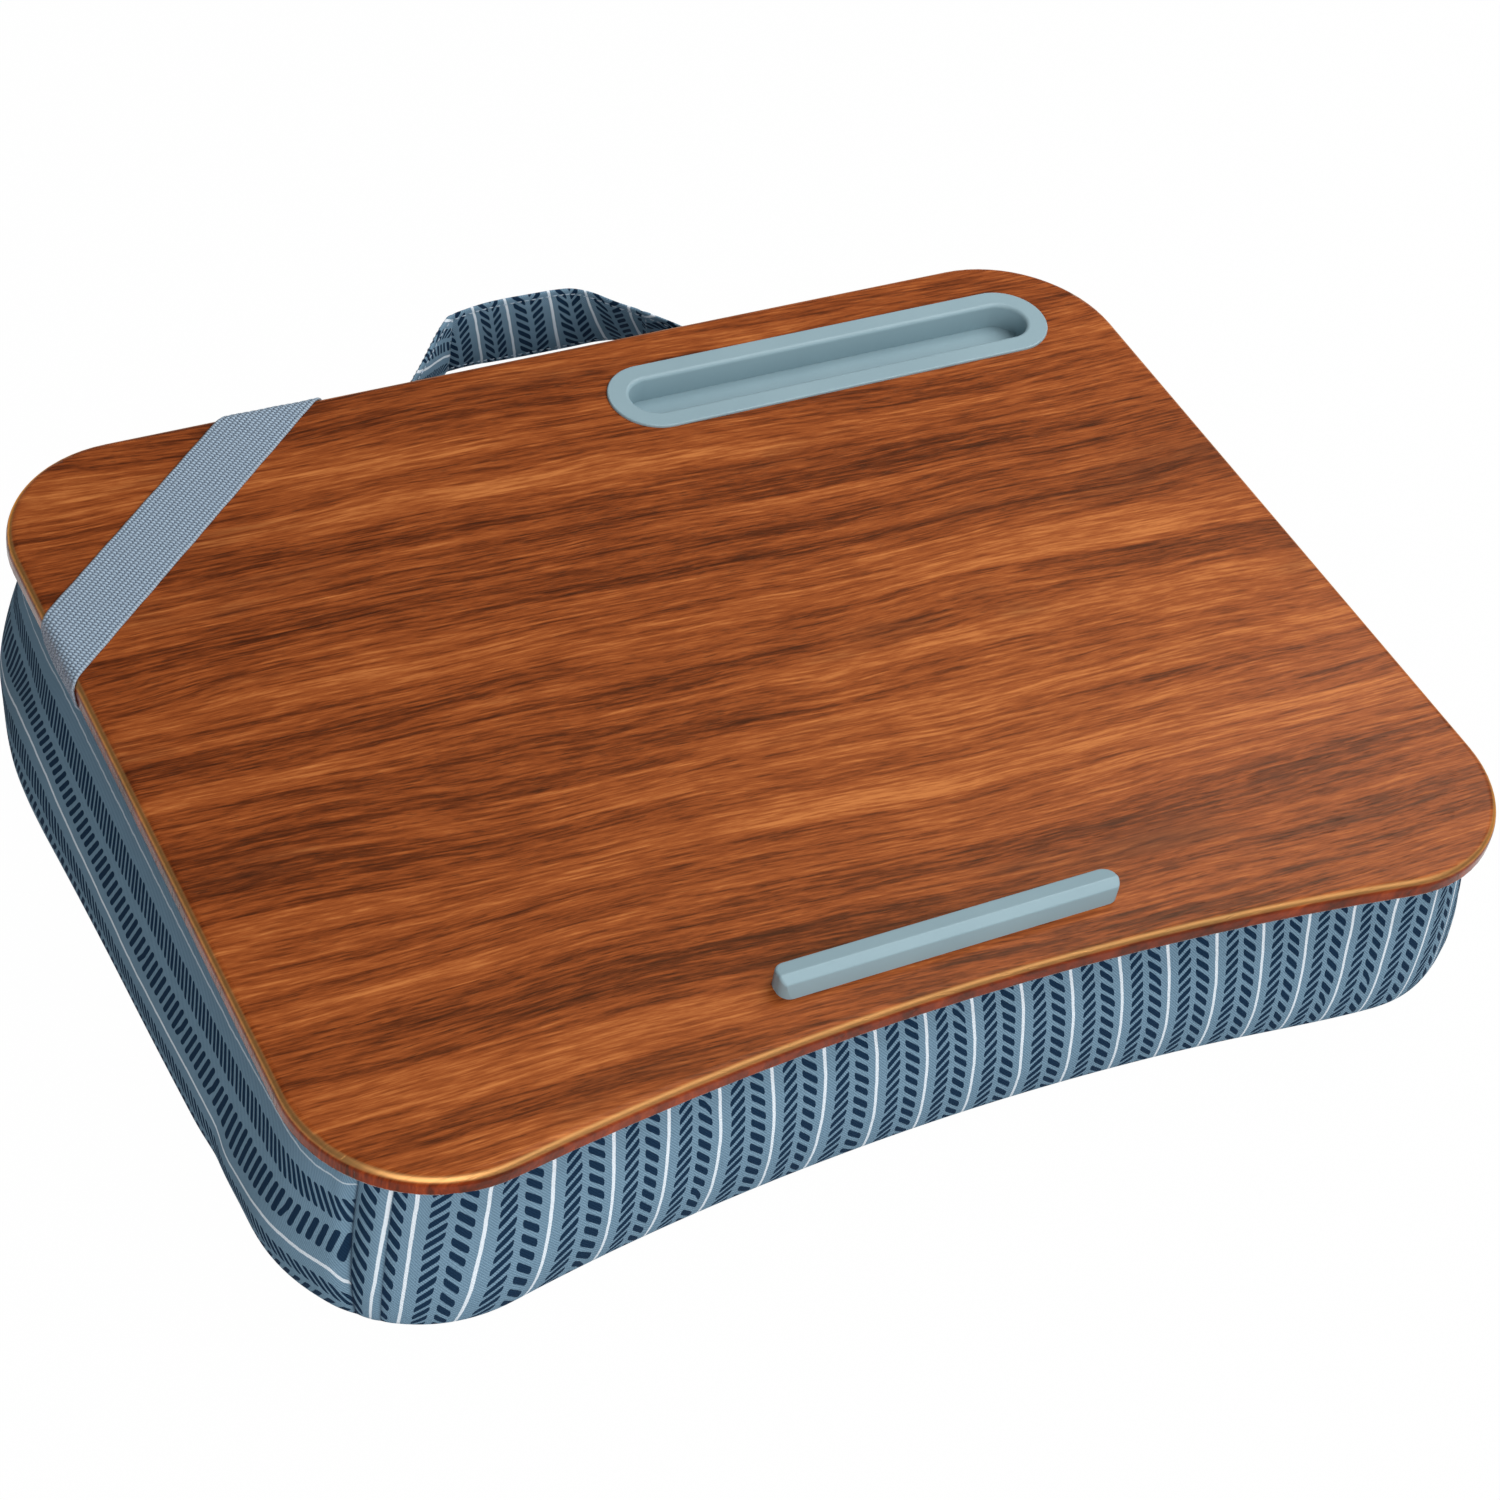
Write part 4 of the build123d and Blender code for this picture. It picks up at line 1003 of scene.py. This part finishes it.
def along_band(position):
    """Top and bottom edge of the band at a station number, by a smooth curve."""
    index = min(int(position), len(STATIONS) - 2)
    t = position - index
    a, b, c, d = STATIONS[np.clip(range(index - 1, index + 3), 0, len(STATIONS) - 1)]
    bend, twist = 2 * a - 5 * b + 4 * c - d, 3 * b - a - 3 * c + d
    place = 0.5 * (2 * b + (c - a) * t + bend * t ** 2 + twist * t ** 3)
    return Vector(place[:3] / 1000), Vector(place[3:] / 1000)


band = bmesh.new()
band_uv, band_weave = band.loops.layers.uv.new("Print"), band.loops.layers.uv.new("Weave")
length_layer, height_layer = (band.verts.layers.float.new(name) for name in ("length", "height"))
step_layer, section_layer = (band.verts.layers.int.new(name) for name in ("step", "section"))
bmesh.ops.create_circle(band, cap_ends=False, segments=SECTION_POINTS, radius=1.0)
for index, vertex in enumerate(band.verts):
    vertex[section_layer] = index
shape = [(v.co.x, v.co.y) for v in band.verts]
samples = [i / BAND_STEPS for i in range(BAND_STEPS * (len(STATIONS) - 1) + 1)]
middles = [(sum(along_band(p), Vector()) / 2) for p in samples]
run = [0.0]
for first, second in zip(middles, middles[1:]):
    run.append(run[-1] + (second - first).length)
left_join, right_join = run[LEFT_JOIN * BAND_STEPS], run[RIGHT_JOIN * BAND_STEPS]


def band_frame(number):
    """Middle of the two edges, half their gap, and the band's three directions at a sample."""
    top, low = along_band(samples[number])
    ahead = (middles[min(number + 1, len(middles) - 1)] - middles[max(number - 1, 0)]).normalized()
    upward = (top - low).normalized()
    return (top + low) / 2, (top - low).length / 2, ahead, upward, ahead.cross(upward).normalized()


def place_section(vertices, number):
    """Puts one ring of the band in place; its rim is thin and its middle full."""
    middle, half, _, upward, outward = band_frame(number)
    for vertex in vertices:
        a, b = shape[vertex[section_layer]]
        tall = (abs(b) ** 0.35) * (1 if b > 0 else -1)
        swell = 0.55 + 0.45 * (1 - tall ** 4)
        sunk = 1 - 0.35 * max(0.0, 1 - abs(abs(tall) - SEAM_LINE) / 0.05)
        join = min(abs(run[number] - left_join), abs(run[number] - right_join))
        seam = 1 + 0.25 * max(0.0, 1 - abs(join - 0.003) / 0.003) - 0.5 * max(0.0, 1 - join / 0.0012)
        thick = (abs(a) ** 0.6) * (1 if a > 0 else -1) * BAND_HALF_THICK * swell * sunk * seam
        vertex.co = middle + upward * (tall * half) + outward * thick
        vertex[length_layer] = run[number]
        vertex[height_layer] = tall


place_section(list(band.verts), 0)
extrude(band, step_layer, section_layer, len(samples), place_section)
bmesh.ops.recalc_face_normals(band, faces=band.faces)
for face in band.faces:
    centre = sum(loop.vert[length_layer] for loop in face.loops) / len(face.loops)
    for loop in face.loops:
        length, tall = loop.vert[length_layer], loop.vert[height_layer]
        down = (1 - tall) * HALF_CLOTH
        if left_join < centre < right_join:
            # On the grip the stripes stand across the band; the print is upside down.
            along = (length - left_join - GRIP_LEAN * (down - 0.014)) * 1000
            uv = (np.interp(along, GRIP_LINES, (1, 0, -1, -2, -3, -4, -5)), down / 0.0042)
        else:
            past = max(left_join - length, length - right_join)
            uv = ((down + TAB_LEAN * past - 0.0215) / 0.0185, (past - TAB_LEAN * down) / 0.0045)
        loop[band_uv].uv = uv
        loop[band_weave].uv = (length, tall * 0.016)
handle, band_mesh = object_from(band, "carry_handle", "handle band")
band_mesh.shade_smooth()
band_mesh.materials.append(cloth.material)
set_numbers(band_mesh, "stretch_and_shade", "CORNER", np.ones(len(band_mesh.loops), np.float32))
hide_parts("handle_grip", "handle_tab_left", "handle_tab_right", "handle_webbing",
            "handle_foot_left", "handle_foot_right")
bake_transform(handle)
print("handle band", round(run[-1], 3), "m long,", len(band_mesh.polygons), "faces")

# %% [markdown]
# ## Stitches on the handle
# Two rows of lockstitch close the folded band near its long edges, and a row
# crosses it where the grip meets each tab. A stitch shows as a short rounded
# length of thread that sinks into the cloth at both ends.

# %% Stitches
STITCH_PITCH, STITCH_LENGTH, THREAD_HALF = 0.0031, 0.0023, 0.00024
SEAM_FACE, JOIN_FACE = 0.00108, 0.00165     # the cloth's face at both kinds of seam, from its middle
stitches = bmesh.new()
lengths = np.array(run)


def stitch(middle, direction, out):
    """One stitch: a small rounded bar that is bent down at its ends."""
    turn = Matrix((direction, out.cross(direction), out)).transposed().to_4x4()
    longer = Matrix.Diagonal((STITCH_LENGTH / 2 / THREAD_HALF, 1, 1, 1))
    made = bmesh.ops.create_uvsphere(stitches, u_segments=8, v_segments=6, radius=THREAD_HALF,
                                     matrix=longer)["verts"]
    for vertex in made:
        vertex.co.z -= (vertex.co.x / STITCH_LENGTH * 2) ** 2 * THREAD_HALF * 0.9
    bmesh.ops.transform(stitches, verts=made, matrix=Matrix.Translation(middle) @ turn)


def stitch_both_faces(distance, across):
    """Stitches at one distance: two that run along the band, or a row across it."""
    number = int(np.argmin(np.abs(lengths - distance)))
    middle, half, ahead, upward, outward = band_frame(number)
    middle = middle + ahead * (distance - run[number])
    heights = np.arange(-0.78, 0.8, STITCH_PITCH / half) if across else (SEAM_LINE, -SEAM_LINE)
    direction, face = (upward, JOIN_FACE) if across else (ahead, SEAM_FACE)
    for tall in heights:
        for out in (outward, -outward):
            stitch(middle + upward * (tall * half) + out * face, direction, out)


for distance in np.arange(0.004, run[-1] - 0.003, STITCH_PITCH):
    stitch_both_faces(distance, across=False)
for join in (left_join - 0.0022, right_join + 0.0022):
    stitch_both_faces(join, across=True)
bmesh.ops.recalc_face_normals(stitches, faces=stitches.faces)
seam_thread, stitch_mesh = object_from(stitches, "handle_stitches", "handle stitches")
stitch_mesh.shade_smooth()
stitch_mesh.materials.append(thread_finish.material)
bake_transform(seam_thread)
print("stitches", len(stitch_mesh.polygons) // 48)
